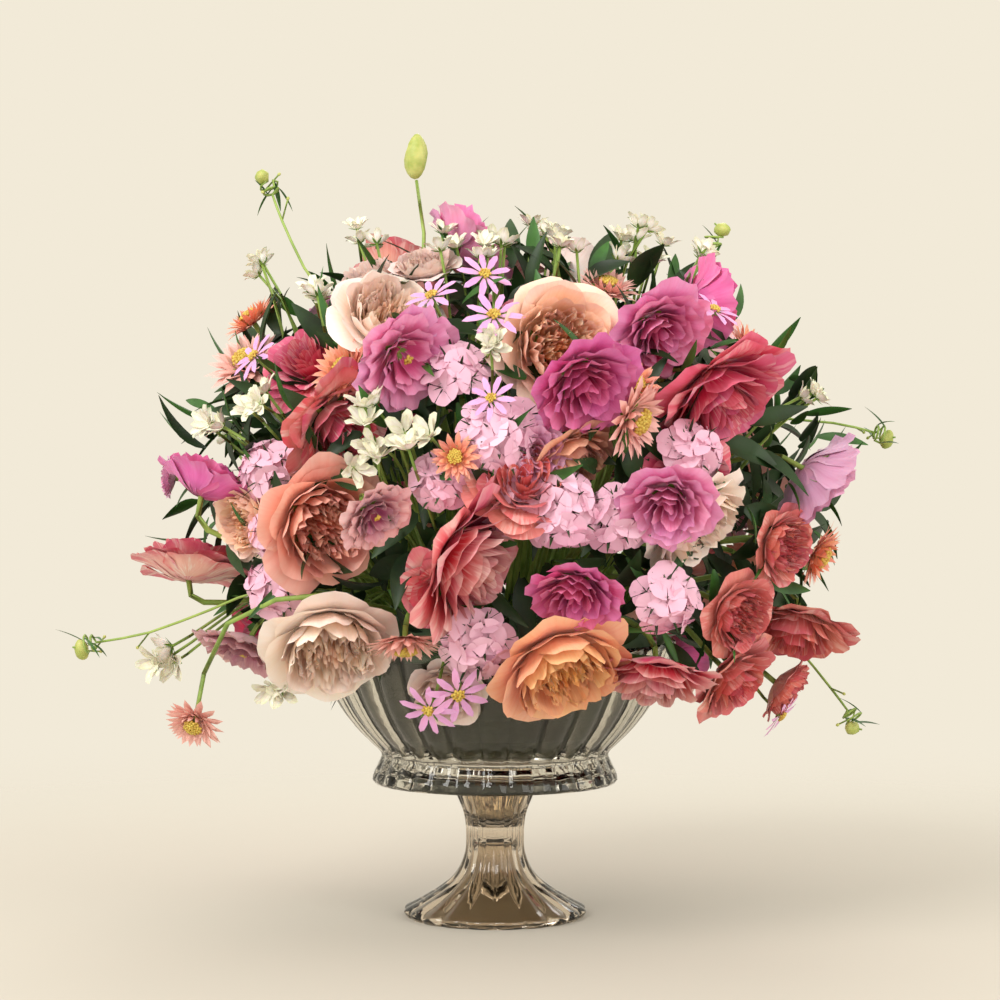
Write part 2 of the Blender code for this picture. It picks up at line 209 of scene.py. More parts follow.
def petal_pattern() -> bpy.types.NodeTree:
    """The petals' shared pattern: a gradient from heart to rim, veins, streaks and speckle.

    Returns:
        The node group, built once.
    """
    known = bpy.data.node_groups.get("petal_pattern")
    if known:
        return known
    group = bpy.data.node_groups.new("petal_pattern", "ShaderNodeTree")
    for name in ("Heart", "Outer", "Rim", "Base", "Streak"):
        group.interface.new_socket(name, in_out="INPUT", socket_type="NodeSocketColor")
    for name in ("Rim Share", "Streak Share", "Vein Share", "Base Share"):
        group.interface.new_socket(name, in_out="INPUT", socket_type="NodeSocketFloat")
    group.interface.new_socket("Color", in_out="OUTPUT", socket_type="NodeSocketColor")
    group.interface.new_socket("Height", in_out="OUTPUT", socket_type="NodeSocketFloat")
    canvas = NodeCanvas(group)
    given = canvas.add("NodeGroupInput").outputs
    result = canvas.add("NodeGroupOutput").inputs
    place = canvas.add("ShaderNodeSeparateXYZ")
    canvas.link(canvas.add("ShaderNodeUVMap", uv_map="UVMap").outputs[0], place.inputs[0])
    across, along = place.outputs[0], place.outputs[1]
    layer = canvas.add("ShaderNodeAttribute", attribute_name="layer").outputs["Fac"]
    tone = canvas.add("ShaderNodeAttribute", attribute_name="tone").outputs["Fac"]

    def stretched(wide: float, long: float, detail: float) -> Socket:
        """Noise drawn out along the petal, different on each petal."""
        spot = canvas.add("ShaderNodeCombineXYZ")
        canvas.link(canvas.math("MULTIPLY", across, wide), spot.inputs[0])
        canvas.link(canvas.math("MULTIPLY", along, long), spot.inputs[1])
        canvas.link(canvas.math("MULTIPLY", tone, 37.0), spot.inputs[2])
        grain = canvas.add("ShaderNodeTexNoise", in_Scale=1.0, in_Detail=detail)
        canvas.link(spot.outputs[0], grain.inputs["Vector"])
        return grain.outputs["Fac"]

    body = canvas.mix(layer, given["Heart"], given["Outer"])
    low = canvas.math("SUBTRACT", 1.0, canvas.step(along, 0.0, 0.55))
    base = canvas.math("MULTIPLY", low, given["Base Share"])
    body = canvas.mix(base, body, given["Base"])
    side = canvas.math("ABSOLUTE", canvas.math("SUBTRACT", across, 0.5))
    fringe = canvas.math("MAXIMUM", canvas.step(along, 0.62, 1.0), canvas.step(side, 0.36, 0.5))
    fringe = canvas.math("MULTIPLY", fringe, stretched(5.0, 3.0, 2.0))
    fringe = canvas.math("MULTIPLY", canvas.math("MULTIPLY", fringe, 1.7), given["Rim Share"], clamp=True)
    body = canvas.mix(fringe, body, given["Rim"])
    streaks = canvas.step(stretched(15.0, 1.6, 6.0), 0.50, 0.60)
    blots = canvas.step(stretched(2.2, 1.4, 2.0), 0.36, 0.56)
    streaks = canvas.math("MULTIPLY", streaks, blots)
    streaks = canvas.math("MULTIPLY", streaks, given["Streak Share"], clamp=True)
    body = canvas.mix(streaks, body, given["Streak"])
    veins = stretched(26.0, 2.2, 4.0)
    depth = canvas.math("MULTIPLY", canvas.step(veins, 0.35, 0.75), given["Vein Share"])
    deeper = canvas.mix(1.0, body, body, blend="MULTIPLY")
    body = canvas.mix(depth, body, deeper)
    shade = canvas.add("ShaderNodeHueSaturation")
    canvas.link(body, shade.inputs["Color"])
    canvas.link(canvas.math("ADD", canvas.math("MULTIPLY", tone, 0.16), 0.92), shade.inputs["Value"])
    canvas.link(canvas.math("ADD", canvas.math("MULTIPLY", tone, 0.024), 0.488), shade.inputs["Hue"])
    canvas.link(shade.outputs[0], result["Color"])
    canvas.link(veins, result["Height"])
    return group


class Coat:
    """A finish whose material is built once, when the first piece asks for it."""

    name: str

    def dress(self, canvas: NodeCanvas, shader: bpy.types.Node) -> None:
        """Set the main shader up, with the nodes that feed it."""
        raise NotImplementedError

    def material(self) -> bpy.types.Material:
        """The finish's material."""
        known = bpy.data.materials.get(self.name)
        if known:
            return known
        material = bpy.data.materials.new(self.name)
        material.use_nodes = True
        self.dress(NodeCanvas(material.node_tree), material.node_tree.nodes["Principled BSDF"])
        return material


@dataclass(frozen=True)
class PetalFinish(Coat):
    """The finish of one flower's petals, as colour codes and shares."""

    name: str
    heart: str
    outer: str
    rim: str
    base: str
    slot: str
    streak: str = "FFF0E2"
    rim_share: float = 0.5
    streak_share: float = 0.0
    vein_share: float = 0.25
    base_share: float = 0.6
    roughness: float = 0.55
    glow: float = 0.12

    def dress(self, canvas: NodeCanvas, shader: bpy.types.Node) -> None:
        """Set the petal shader up."""
        pattern = canvas.add("ShaderNodeGroup", node_tree=petal_pattern())
        for part in ("heart", "outer", "rim", "base", "streak"):
            pattern.inputs[part.title()].default_value = (*srgb(getattr(self, part)), 1.0)
        for part in ("rim", "streak", "vein", "base"):
            pattern.inputs[f"{part.title()} Share"].default_value = getattr(self, f"{part}_share")
        bump = canvas.add("ShaderNodeBump", in_Strength=0.25, in_Distance=0.0006)
        canvas.link(pattern.outputs["Height"], bump.inputs["Height"])
        canvas.link(pattern.outputs["Color"], shader.inputs["Base Color"])
        canvas.link(bump.outputs[0], shader.inputs["Normal"])
        shader.inputs["Roughness"].default_value = self.roughness
        shader.inputs["Subsurface Weight"].default_value = self.glow
        shader.inputs["Subsurface Radius"].default_value = (1.0, 0.45, 0.3)
        shader.inputs["Subsurface Scale"].default_value = 0.006
        shader.inputs["Specular IOR Level"].default_value = 0.35
        shader.inputs["Sheen Weight"].default_value = 0.12
        shader.inputs["Sheen Roughness"].default_value = 0.5


@dataclass(frozen=True)
class GreenFinish(Coat):
    """Leaf, stem and bud finish: two greens mottled together."""

    name: str
    dark: str
    light: str
    slot: str = "green_bud"
    scale: float = 55.0
    roughness: float = 0.5

    def dress(self, canvas: NodeCanvas, shader: bpy.types.Node) -> None:
        """Set the green shader up."""
        place = canvas.add("ShaderNodeTexCoord").outputs["Object"]
        coarse = canvas.add("ShaderNodeTexNoise", in_Scale=self.scale, in_Detail=4.0)
        fine = canvas.add("ShaderNodeTexNoise", in_Scale=self.scale * 9, in_Detail=3.0)
        canvas.link(place, coarse.inputs["Vector"])
        canvas.link(place, fine.inputs["Vector"])
        tone = canvas.add("ShaderNodeAttribute", attribute_name="tone").outputs["Fac"]
        mottle = canvas.step(coarse.outputs["Fac"], 0.3, 0.7)
        blotch = canvas.math("ADD", mottle, canvas.math("MULTIPLY", tone, 0.5))
        share = canvas.math("MULTIPLY", blotch, 0.67, clamp=True)
        colour = canvas.mix(share, srgb(self.dark), srgb(self.light))
        bump = canvas.add("ShaderNodeBump", in_Strength=0.3, in_Distance=0.0005)
        canvas.link(fine.outputs["Fac"], bump.inputs["Height"])
        canvas.link(colour, shader.inputs["Base Color"])
        canvas.link(bump.outputs[0], shader.inputs["Normal"])
        shader.inputs["Roughness"].default_value = self.roughness
        shader.inputs["Subsurface Weight"].default_value = 0.05
        shader.inputs["Subsurface Scale"].default_value = 0.003


@dataclass(frozen=True)
class GlassFinish(Coat):
    """Pressed glass: a faint tint, slight ripples and soft wear."""

    name: str
    tint: str
    roughness: float = 0.03
    slot: str = "clear_glass"

    def dress(self, canvas: NodeCanvas, shader: bpy.types.Node) -> None:
        """Set the glass shader up."""
        place = canvas.add("ShaderNodeTexCoord").outputs["Object"]
        ripple = canvas.add("ShaderNodeTexNoise", in_Scale=70.0, in_Detail=2.0)
        smear = canvas.add("ShaderNodeTexNoise", in_Scale=22.0, in_Detail=3.0)
        canvas.link(place, ripple.inputs["Vector"])
        canvas.link(place, smear.inputs["Vector"])
        bump = canvas.add("ShaderNodeBump", in_Strength=0.25, in_Distance=0.001)
        canvas.link(ripple.outputs["Fac"], bump.inputs["Height"])
        tint = srgb(self.tint)
        cloudy = tuple(channel * 0.93 for channel in tint)
        canvas.link(canvas.mix(smear.outputs["Fac"], tint, cloudy), shader.inputs["Base Color"])
        canvas.link(bump.outputs[0], shader.inputs["Normal"])
        shader.inputs["Roughness"].default_value = self.roughness
        shader.inputs["Transmission Weight"].default_value = 1.0
        shader.inputs["IOR"].default_value = 1.5


class Finish(Enum):
    """Every finish on the arrangement."""

    ROSE_APRICOT = PetalFinish(
        "rose_apricot", "FDAE62", "FDDCC6", "FEE6D8", "FBA858", "peach_petal", base_share=0.5,
    )
    ROSE_CREAM = PetalFinish(
        "rose_cream", "FCC290", "FBEADD", "FDF2EA", "F9BE88", "peach_petal", base_share=0.4,
    )
    ROSE_CORAL = PetalFinish(
        "rose_coral", "F9956C", "F6B8A4", "FACCBC", "F48C5E", "peach_petal", base_share=0.4,
    )
    ROSE_GOLD = PetalFinish(
        "rose_gold", "FBA94C", "F6B8A2", "FCCB94", "F79C3C", "peach_petal", base_share=0.5,
    )
    ROSE_RUST = PetalFinish(
        "rose_rust", "B5541F", "EBAA8C", "F0BFA6", "C96A30", "peach_petal", base_share=0.8,
    )
    ROSE_BLUSH = PetalFinish(
        "rose_blush", "F1BFA8", "F0DAD2", "F8E8E0", "E9C0A4", "peach_petal", base_share=0.4,
    )
    STRIPE_CRIMSON = PetalFinish(
        "stripe_crimson", "C01038", "EC2E62", "F8DDD2", "A80C30", "striped_petal",
        rim_share=0.6, streak_share=0.35, base_share=0.4,
    )
    STRIPE_HOT = PetalFinish(
        "stripe_hot", "D01050", "E22A66", "F7B9C4", "B80A40", "striped_petal",
        rim_share=0.35, streak_share=0.3, base_share=0.4,
    )
    STRIPE_BLUSH = PetalFinish(
        "stripe_blush", "D8486A", "EFB4A8", "E0456A", "E9A890", "striped_petal",
        streak="F9E6DA", rim_share=0.75, streak_share=0.6, base_share=0.3,
    )
    STRIPE_SALMON = PetalFinish(
        "stripe_salmon", "E06A60", "E99A8C", "D94A60", "E88A70", "striped_petal",
        streak="F7D6CA", rim_share=0.5, streak_share=0.45, base_share=0.3,
    )
    PINK_DEEP = PetalFinish(
        "pink_deep", "CC2E78", "E86AAA", "F29CC8", "A01A58", "pink_petal", rim_share=0.5,
    )
    PINK_CLEAR = PetalFinish(
        "pink_clear", "D85090", "F094C2", "F8BCDA", "B03068", "pink_petal", rim_share=0.5,
    )
    PINK_PALE = PetalFinish(
        "pink_pale", "A84070", "E9B8B8", "F0CDC6", "B05078", "pink_petal", rim_share=0.5,
    )
    PINK_LILAC = PetalFinish(
        "pink_lilac", "C97098", "E2A6C6", "F0C4DA", "D088A8", "pink_petal", rim_share=0.5,
    )
    CORAL = PetalFinish("coral_petal", "EE7058", "EE8C7C", "F6B8A4", "E45A48", "coral_petal", rim_share=0.4)
    CORAL_PEACH = PetalFinish(
        "coral_peach", "F08A58", "F3A488", "F8C6AC", "EE7848", "coral_petal", rim_share=0.4,
    )
    FLORET = PetalFinish(
        "floret_petal", "C02058", "E880A4", "FBEFF2", "B01850", "floret_petal",
        streak="C83060", rim_share=0.9, streak_share=0.45, base_share=1.3,
    )
    DAISY = PetalFinish("daisy_petal", "D884C0", "E7A6D2", "F0BCE0", "F4D0E6", "pink_petal", rim_share=0.3)
    WHITE = PetalFinish(
        "white_petal", "F3ECD8", "F6F0E4", "DDE3A8", "E7EBC0", "peach_petal",
        streak="B07870", rim_share=0.5, streak_share=0.2, base_share=0.6,
    )
    STEM = GreenFinish("stem_green", "6E8C34", "A4BC5C")
    CALYX = GreenFinish("calyx_green", "4E7428", "8CAC48")
    LEAF = GreenFinish("leaf_green", "1E4416", "44782C", "dark_leaf", 40.0)
    # A darker copy of the leaf green: painted shade for the leaves deep in the dome and behind the florets.
    LEAF_DARK = GreenFinish("leaf_dark", "12260E", "2C4C1E", "dark_leaf", 40.0)
    BUD = GreenFinish("bud_green", "8CA038", "D4D07C", scale=90.0)
    LINING = GreenFinish("lining_leaf", "1A2412", "34462A", "dark_leaf", 30.0, 0.35)
    FOAM = GreenFinish("wet_foam", "1C3A18", "35592B", "wet_foam", 300.0, 0.9)
    EYE = GreenFinish("flower_eye", "B8862C", "E6CF5C", "coral_petal", 300.0)
    FOOT_GLASS = GlassFinish("taupe_glass", "D9CBB8")
    BOWL_GLASS = GlassFinish("smoke_glass", "E3DFD2")


# ---------------------------------------------------------------- petals


@dataclass(frozen=True)
class Petal:
    """One petal: a patch of a cup round the flower's axis, with its tip rolled and its edge ruffled.

    Lengths are shares of the flower's radius and angles are radians.
    """

    reach: float
    rise: float
    span: float
    start: float = 0.04
    belly: float = 0.5
    curl: float = 0.0
    curl_from: float = 0.6
    rounding: float = 0.25
    point: float = 0.0
    notch: float = 0.0
    ruffle: float = 0.02
    waves: float = 2.0
    spiral: float = 0.04
    cup: float = 0.0
    teeth: float = 0.0
    across: int = 8
    along: int = 7

    def place(self, s: float, t: float, phase: float) -> Vector:
        """The point of the petal at a place on its sheet.

        Args:
            s: Place across, from -1 to 1.
            t: Place along, from 0 at the base to 1 at the tip.
            phase: Where the ruffle's waves start.

        Returns:
            The point, in shares of the flower's radius.
        """
        edge = abs(s)
        reach = t * (1.0 - self.rounding * edge**2.6 - self.point * edge**1.1)
        reach -= self.notch * math.exp(-((s / 0.22) ** 2)) * t
        if self.teeth and t > 0.8:
            reach += self.teeth * abs(math.sin(s * 3.5 * math.pi)) - 0.5 * self.teeth
        reach = max(reach, 0.0)
        radius = self.start + (self.reach - self.start) * reach ** (1.0 - 0.55 * self.belly)
        height = self.rise * reach ** (1.0 + 0.9 * self.belly)
        if reach > self.curl_from:
            roll = (reach - self.curl_from) / (1.0 - self.curl_from)
            radius += self.curl * roll * roll
            height -= self.curl * 0.75 * roll**3
        width = min(1.0, 0.35 + 1.3 * t) if self.point < 0.3 else min(1.0, 0.3 + 1.6 * t)
        angle = s * self.span * width
        wave = math.sin(self.waves * math.pi * s + phase) * self.ruffle * t**2.2
        radius += wave * 0.9 + self.spiral * s * (0.2 + 0.8 * t) - self.cup * edge**2 * t
        height += math.cos(self.waves * 1.3 * math.pi * s + phase * 1.7) * self.ruffle * t**3
        height += self.cup * edge**2 * t * 0.6
        return Vector((radius * math.cos(angle), radius * math.sin(angle), height))


class BloomSheet:
    """A mesh in the making: petals, leaves and stems gathered into one piece."""

    def __init__(self, seed: str) -> None:
        """Start an empty mesh.

        Args:
            seed: Text that sets this piece's own chance variations.
        """
        self.mesh = bmesh.new()
        self.uv = self.mesh.loops.layers.uv.new("UVMap")
        self.tone = self.mesh.verts.layers.float.new("tone")
        self.layer = self.mesh.verts.layers.float.new("layer")
        self.chance = random.Random(seed)

    def add_grid(self, across: int, along: int) -> list[bmesh.types.BMVert]:
        """A flat sheet from -1 to 1 both ways, with its UV map."""
        made = bmesh.ops.create_grid(
            self.mesh, x_segments=across, y_segments=along, size=1.0, calc_uvs=True
        )
        return made["verts"]

    def add_petal(self, petal: Petal, place: Matrix, layer: float) -> None:
        """A petal, shaped and put in place.

        Args:
            petal: Its shape.
            place: From the flower's shares to the arrangement's frame.
            layer: 0 in the heart of the flower, 1 on its outside.
        """
        own = self.chance.random()
        phase = self.chance.uniform(0.0, math.tau)
        for corner in self.add_grid(petal.across, petal.along):
            s, t = corner.co.x, 0.5 * (corner.co.y + 1.0)
            corner.co = place @ petal.place(s, t, phase)
            corner[self.tone] = own
            corner[self.layer] = layer

    def add_leaf(
        self, root: Vector, heading: Vector, length: float, width: float, droop: float, face: Vector = UP
    ) -> None:
        """A narrow leaf with a folded midrib.

        Args:
            root: Where it leaves its stem.
            heading: The way it grows.
            length: Its length.
            width: Its greatest width.
            droop: How far its tip bends down, as a share of the length.
            face: The way its upper side faces.
        """
        heading = heading.normalized()
        up = face - heading * heading.dot(face)
        up = up.normalized() if up.length > 1e-4 else heading.orthogonal().normalized()
        side = heading.cross(up)
        own = self.chance.random()
        twist = self.chance.uniform(-0.5, 0.5)
        for corner in self.add_grid(2, 7):
            s, t = corner.co.x, 0.5 * (corner.co.y + 1.0)
            swell = math.sin(math.pi * min(1.0, t * 0.94 + 0.04) ** 0.8) ** 0.9
            half = 0.5 * width * max(swell, 0.04)
            bend = droop * length * t * t
            rib = abs(s) * half * LEAF_FOLD * 2.0
            turn = twist * t
            out = side * math.cos(turn) + up * math.sin(turn)
            corner.co = root + heading * (length * t) + out * (s * half) + up * (rib - bend)
            corner[self.tone] = own
            corner[self.layer] = t

    def add_tube(self, route: list[Vector], radii: list[float], sides: int = 6, tone: float = 0.5) -> None:
        """A closed tube along a route.

        Args:
            route: The points it follows.
            radii: The radius at each point.
            sides: How many sides it has.
            tone: Its own tint.
        """
        start = (route[1] - route[0]).normalized()
        side = start.orthogonal().normalized()
        loops = []
        for index, centre in enumerate(route):
            along = (route[min(index + 1, len(route) - 1)] - route[max(index - 1, 0)]).normalized()
            side = (side - along * side.dot(along)).normalized()
            turned = Matrix((side, along.cross(side), along)).transposed().to_4x4()
            turned.translation = centre
            end = index in (0, len(route) - 1)
            corners = bmesh.ops.create_circle(
                self.mesh, cap_ends=end, segments=sides, radius=radii[index], matrix=turned
            )["verts"]
            for corner in corners:
                corner[self.tone] = tone
                corner[self.layer] = index / len(route)
            loops.append(self._rim(corners))
        for low, high in zip(loops, loops[1:]):
            bmesh.ops.bridge_loops(self.mesh, edges=low + high)

    @staticmethod
    def _rim(ring: list[bmesh.types.BMVert]) -> list[bmesh.types.BMEdge]:
        """The edges that join the corners of one ring."""
        corners = set(ring)
        return list({edge for corner in ring for edge in corner.link_edges if set(edge.verts) <= corners})

    def add_pod(self, centre: Vector, axis: Vector, radius: float, length: float, tip: float = 0.25) -> None:
        """A bud: a turned body with shallow ribs that wind round it.

        Args:
            centre: Its middle.
            axis: The way its tip points.
            radius: Its greatest radius.
            length: Its length.
            tip: How blunt its tip is, from 0 to 1.
        """
        made = bmesh.ops.create_uvsphere(self.mesh, u_segments=12, v_segments=9, radius=1.0, calc_uvs=True)
        turned = axis.normalized().to_track_quat("Z", "Y").to_matrix()
        own = self.chance.random()
        for corner in made["verts"]:
            x, y, z = corner.co
            angle = math.atan2(y, x) + 0.6 * z
            swell = 1.0 - 0.35 * (1.0 - tip) * max(z, 0.0) ** 1.5
            rib = 1.0 + 0.09 * math.cos(POD_RIBS * angle)
            spot = Vector((x * swell * rib * radius, y * swell * rib * radius, z * 0.5 * length))
            corner.co = centre + turned @ spot
            corner[self.tone] = own
            corner[self.layer] = 0.5 + 0.5 * z

    def finish(self, name: str, finish: Finish, nodes: tuple[str, ...] = ()) -> bpy.types.Object:
        """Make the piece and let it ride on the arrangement.

        Args:
            name: The piece's name.
            finish: Its finish.
            nodes: The frame nodes that it stands for.

        Returns:
            The finished object.
        """
        mesh = bpy.data.meshes.new(name)
        self.mesh.to_mesh(mesh)
        self.mesh.free()
        mesh.materials.append(finish.value.material())
        mesh.shade_smooth()
        piece = bpy.data.objects.new(name, mesh)
        bpy.context.scene.collection.objects.link(piece)
        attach(piece, BODY)
        if nodes:
            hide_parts(*nodes)
        LOG.info("%s: %d faces", name, len(mesh.polygons))
        return piece


# ---------------------------------------------------------------- seats


def head_cloud(node: str) -> np.ndarray:
    """The corner points of a frame node."""
    return np.array([corner.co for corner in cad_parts[node].data.vertices])


@dataclass
class Seat:
    """Where a head sits, the way it faces and its radius, with the foot of its stem in the foam."""

    centre: Vector
    facing: Vector
    radius: float
    foot: Vector

    @classmethod
    def of_node(cls, node: str, swell: float) -> "Seat":
        """The seat that a frame node's head gives.

        Args:
            node: The node's name.
            swell: How much wider the open petals are than the node's plain head.

        Returns:
            The seat.
        """
        points = head_cloud(node)
        inside = HEART_OF_DOME
        reach = np.linalg.norm(points - inside, axis=1)
        near = points[reach > np.percentile(reach, 50)]
        middle = near.mean(axis=0)
        for _ in range(6):
            gap = np.linalg.norm(points - middle, axis=1)
            near = points[gap < np.percentile(gap, 52)]
            middle = near.mean(axis=0)
        spread = np.linalg.svd(near - middle)[2]
        facing = Vector(spread[2])
        if facing.dot(Vector(middle - inside)) < 0:
            facing.negate()
        radius = float(np.linalg.norm(near - middle, axis=1).max())
        foot = Vector(points[np.argmin(reach)])
        return cls(Vector(middle), facing, radius * swell, foot)

    @classmethod
    def on_dome(cls, across: float, height: float, radius: float, lift: float, side: int) -> "Seat":
        """A seat on the dome, for a bloom that has no node of its own.

        Args:
            across: Distance to the right of the axis, in millimetres.
            height: Height above the table, in millimetres.
            radius: The head's radius, in millimetres.
            lift: Distance out from the dome, in millimetres.
            side: -1 for the front and 1 for the back.

        Returns:
            The seat.
        """
        centre, facing = dome_seat(across, height, lift, side)
        foot = Vector((centre.x * 0.4, centre.y * 0.4, 0.235))
        return cls(centre, facing, radius * 0.001, foot)

    def turned(self, right: float, up: float) -> "Seat":
        """The seat facing further right and up, in degrees."""
        turn = Euler((math.radians(-up), 0.0, math.radians(right))).to_matrix()
        return replace(self, facing=(turn @ self.facing).normalized())

    def place(self, sink: float) -> Matrix:
        """From the flower's shares to the arrangement's frame.

        Args:
            sink: How far the base lies behind the centre, as a share of the radius.

        Returns:
            The matrix.
        """
        turned = self.facing.to_track_quat("Z", "Y").to_matrix().to_4x4()
        own = Matrix.Scale(self.radius, 4) @ Matrix.Translation((0.0, 0.0, -sink))
        return Matrix.Translation(self.centre) @ turned @ own


# ---------------------------------------------------------------- flower heads


@dataclass(frozen=True)
class Ring:
    """One ring of like petals: how many, their shape, and their place from heart to outside."""

    count: int
    petal: Petal
    layer: float
    jitter: float = 0.1


def ring(
    count: int, layer: float, reach: float, rise: float, span: float, jitter: float = 0.1, **shape: float
) -> Ring:
    """A ring of petals.

    Args:
        count: How many petals it has.
        layer: 0 in the heart of the flower, 1 on its outside.
        reach: The petals' reach from the axis, as a share of the radius.
        rise: The petals' height.
        span: Half the angle that a petal covers.
        jitter: How unlike one another they are.
        shape: Any other size of a petal, by name.

    Returns:
        The ring.
    """
    return Ring(count, Petal(reach, rise, span, **shape), layer, jitter)


class Form(Enum):
    """The build of each kind of flower head, outside to heart."""

    GARDEN_ROSE = (
        ring(5, 1.0, 1.02, 0.42, 0.80, belly=0.45, curl=0.16, ruffle=0.035, spiral=0.05, across=10),
        ring(5, 0.9, 0.95, 0.58, 0.78, belly=0.6, curl=0.08, ruffle=0.03, spiral=0.05, across=10),
        ring(6, 0.75, 0.84, 0.68, 0.62, belly=0.8, curl=0.0, ruffle=0.03, cup=0.02),
        ring(7, 0.6, 0.72, 0.74, 0.52, belly=0.9, curl=-0.06, ruffle=0.03, notch=0.05),
        ring(
            8, 0.45, 0.60, 0.73, 0.44, belly=0.95,
            curl=-0.05, ruffle=0.05, waves=3, notch=0.06, jitter=0.16,
        ),
        ring(9, 0.32, 0.49, 0.70, 0.40, belly=0.95, curl=-0.04, ruffle=0.06, waves=3, notch=0.06, jitter=0.2),
        ring(9, 0.22, 0.38, 0.68, 0.38, belly=0.95, ruffle=0.07, waves=3, notch=0.08, jitter=0.22),
        ring(8, 0.14, 0.27, 0.66, 0.40, belly=0.9, ruffle=0.06, waves=3, notch=0.08, jitter=0.22),
        ring(6, 0.07, 0.17, 0.63, 0.5, belly=0.9, ruffle=0.05, jitter=0.2),
        ring(4, 0.0, 0.08, 0.60, 0.7, belly=0.9, start=0.01, ruffle=0.03),
    )
    STRIPED_ROSE = (
        ring(5, 1.0, 1.08, 0.36, 0.78, belly=0.4, curl=0.2, point=0.12, ruffle=0.04, across=10, along=8),
        ring(5, 0.9, 1.0, 0.50, 0.78, belly=0.5, curl=0.18, point=0.12, ruffle=0.035, across=10, along=8),
        ring(5, 0.75, 0.86, 0.62, 0.76, belly=0.6, curl=0.14, point=0.1, ruffle=0.03, spiral=0.07, across=10),
        ring(5, 0.55, 0.68, 0.72, 0.76, belly=0.75, curl=0.1, ruffle=0.02, spiral=0.08, across=10),
        ring(5, 0.4, 0.51, 0.78, 0.78, belly=0.85, curl=0.07, ruffle=0.015, spiral=0.07),
        ring(5, 0.25, 0.37, 0.81, 0.8, belly=0.9, curl=0.04, ruffle=0.01, spiral=0.06),
        ring(4, 0.15, 0.25, 0.82, 0.95, belly=0.9, curl=0.03, ruffle=0.01, spiral=0.05),
        ring(3, 0.06, 0.15, 0.82, 1.2, belly=0.9, curl=0.02, ruffle=0.005, spiral=0.04),
        ring(2, 0.0, 0.07, 0.80, 1.7, belly=0.9, start=0.01, ruffle=0.0, spiral=0.03),
    )
    LISIANTHUS = (
        ring(5, 1.0, 1.0, 0.52, 0.84, belly=0.4, curl=0.14, ruffle=0.06, waves=3, spiral=0.1, across=12),
        ring(5, 0.85, 0.86, 0.66, 0.82, belly=0.55, curl=0.12, ruffle=0.055, waves=3, spiral=0.1, across=12),
        ring(5, 0.6, 0.67, 0.76, 0.82, belly=0.65, curl=0.1, ruffle=0.05, waves=3, spiral=0.1, across=10),
        ring(5, 0.35, 0.47, 0.8, 0.85, belly=0.7, curl=0.07, ruffle=0.04, waves=3, spiral=0.09),
        ring(4, 0.15, 0.29, 0.8, 0.95, belly=0.8, curl=0.05, ruffle=0.03, waves=2, spiral=0.07),
        ring(3, 0.0, 0.14, 0.78, 1.2, belly=0.85, ruffle=0.02, spiral=0.05),
    )
    OPEN_LISIANTHUS = (
        ring(6, 1.0, 1.0, 0.5, 0.72, belly=0.3, curl=0.16, ruffle=0.06, waves=3, spiral=0.09, across=12),
        ring(6, 0.75, 0.86, 0.6, 0.7, belly=0.4, curl=0.12, ruffle=0.05, waves=3, spiral=0.09, across=12),
        ring(5, 0.4, 0.62, 0.66, 0.8, belly=0.5, curl=0.08, ruffle=0.05, waves=3, spiral=0.08),
        ring(5, 0.1, 0.4, 0.6, 0.8, belly=0.6, curl=0.04, ruffle=0.04, waves=2, spiral=0.07),
    )
    CORAL = (
        ring(
            13, 1.0, 1.0, 0.18, 0.27, belly=0.2,
            curl=0.06, point=0.45, spiral=0.02, cup=-0.04, across=4, along=6,
        ),
        ring(
            13, 0.85, 0.92, 0.32, 0.27, belly=0.25,
            curl=0.06, point=0.45, spiral=0.02, cup=-0.04, across=4, along=6,
        ),
        ring(
            12, 0.7, 0.8, 0.44, 0.27, belly=0.35,
            curl=0.04, point=0.42, spiral=0.02, cup=-0.03, across=4, along=6,
        ),
        ring(11, 0.5, 0.64, 0.5, 0.28, belly=0.45, curl=0.02, point=0.4, cup=-0.03, across=4, along=5),
        ring(10, 0.3, 0.46, 0.5, 0.3, belly=0.6, curl=-0.04, point=0.35, cup=-0.02, across=4, along=5),
    )
    DAISY = (
        ring(
            9, 1.0, 1.0, 0.1, 0.24, belly=0.0,
            curl=0.1, point=0.15, ruffle=0.01, cup=0.03, across=4, along=6,
        ),
    )
    WHITE = (
        ring(
            5, 1.0, 0.9, 0.75, 0.6, belly=0.4,
            curl=0.18, point=0.3, ruffle=0.03, cup=0.05, across=5, along=6,
        ),
        ring(4, 0.4, 0.6, 0.8, 0.6, belly=0.5, curl=0.08, point=0.3, ruffle=0.03, across=4, along=5),
    )
    FLORET = (
        ring(
            5, 1.0, 1.0, 0.14, 0.6, belly=0.0,
            curl=0.05, rounding=0.06, teeth=0.16, ruffle=0.02, spiral=0.03, across=7, along=4,
        ),
    )


def bent_route(start: Vector, first: Vector, second: Vector, end: Vector) -> list[Vector]:
    """Points along a bend.

    Args:
        start: Where it starts.
        first: The point it sets off towards.
        second: The point it comes in from.
        end: Where it ends.

    Returns:
        The points.
    """
    points = []
    for index in range(STEM_POINTS):
        t = index / (STEM_POINTS - 1)
        near = start * (1 - t) ** 3 + first * 3 * t * (1 - t) ** 2
        points.append(near + second * 3 * t * t * (1 - t) + end * t**3)
    return points


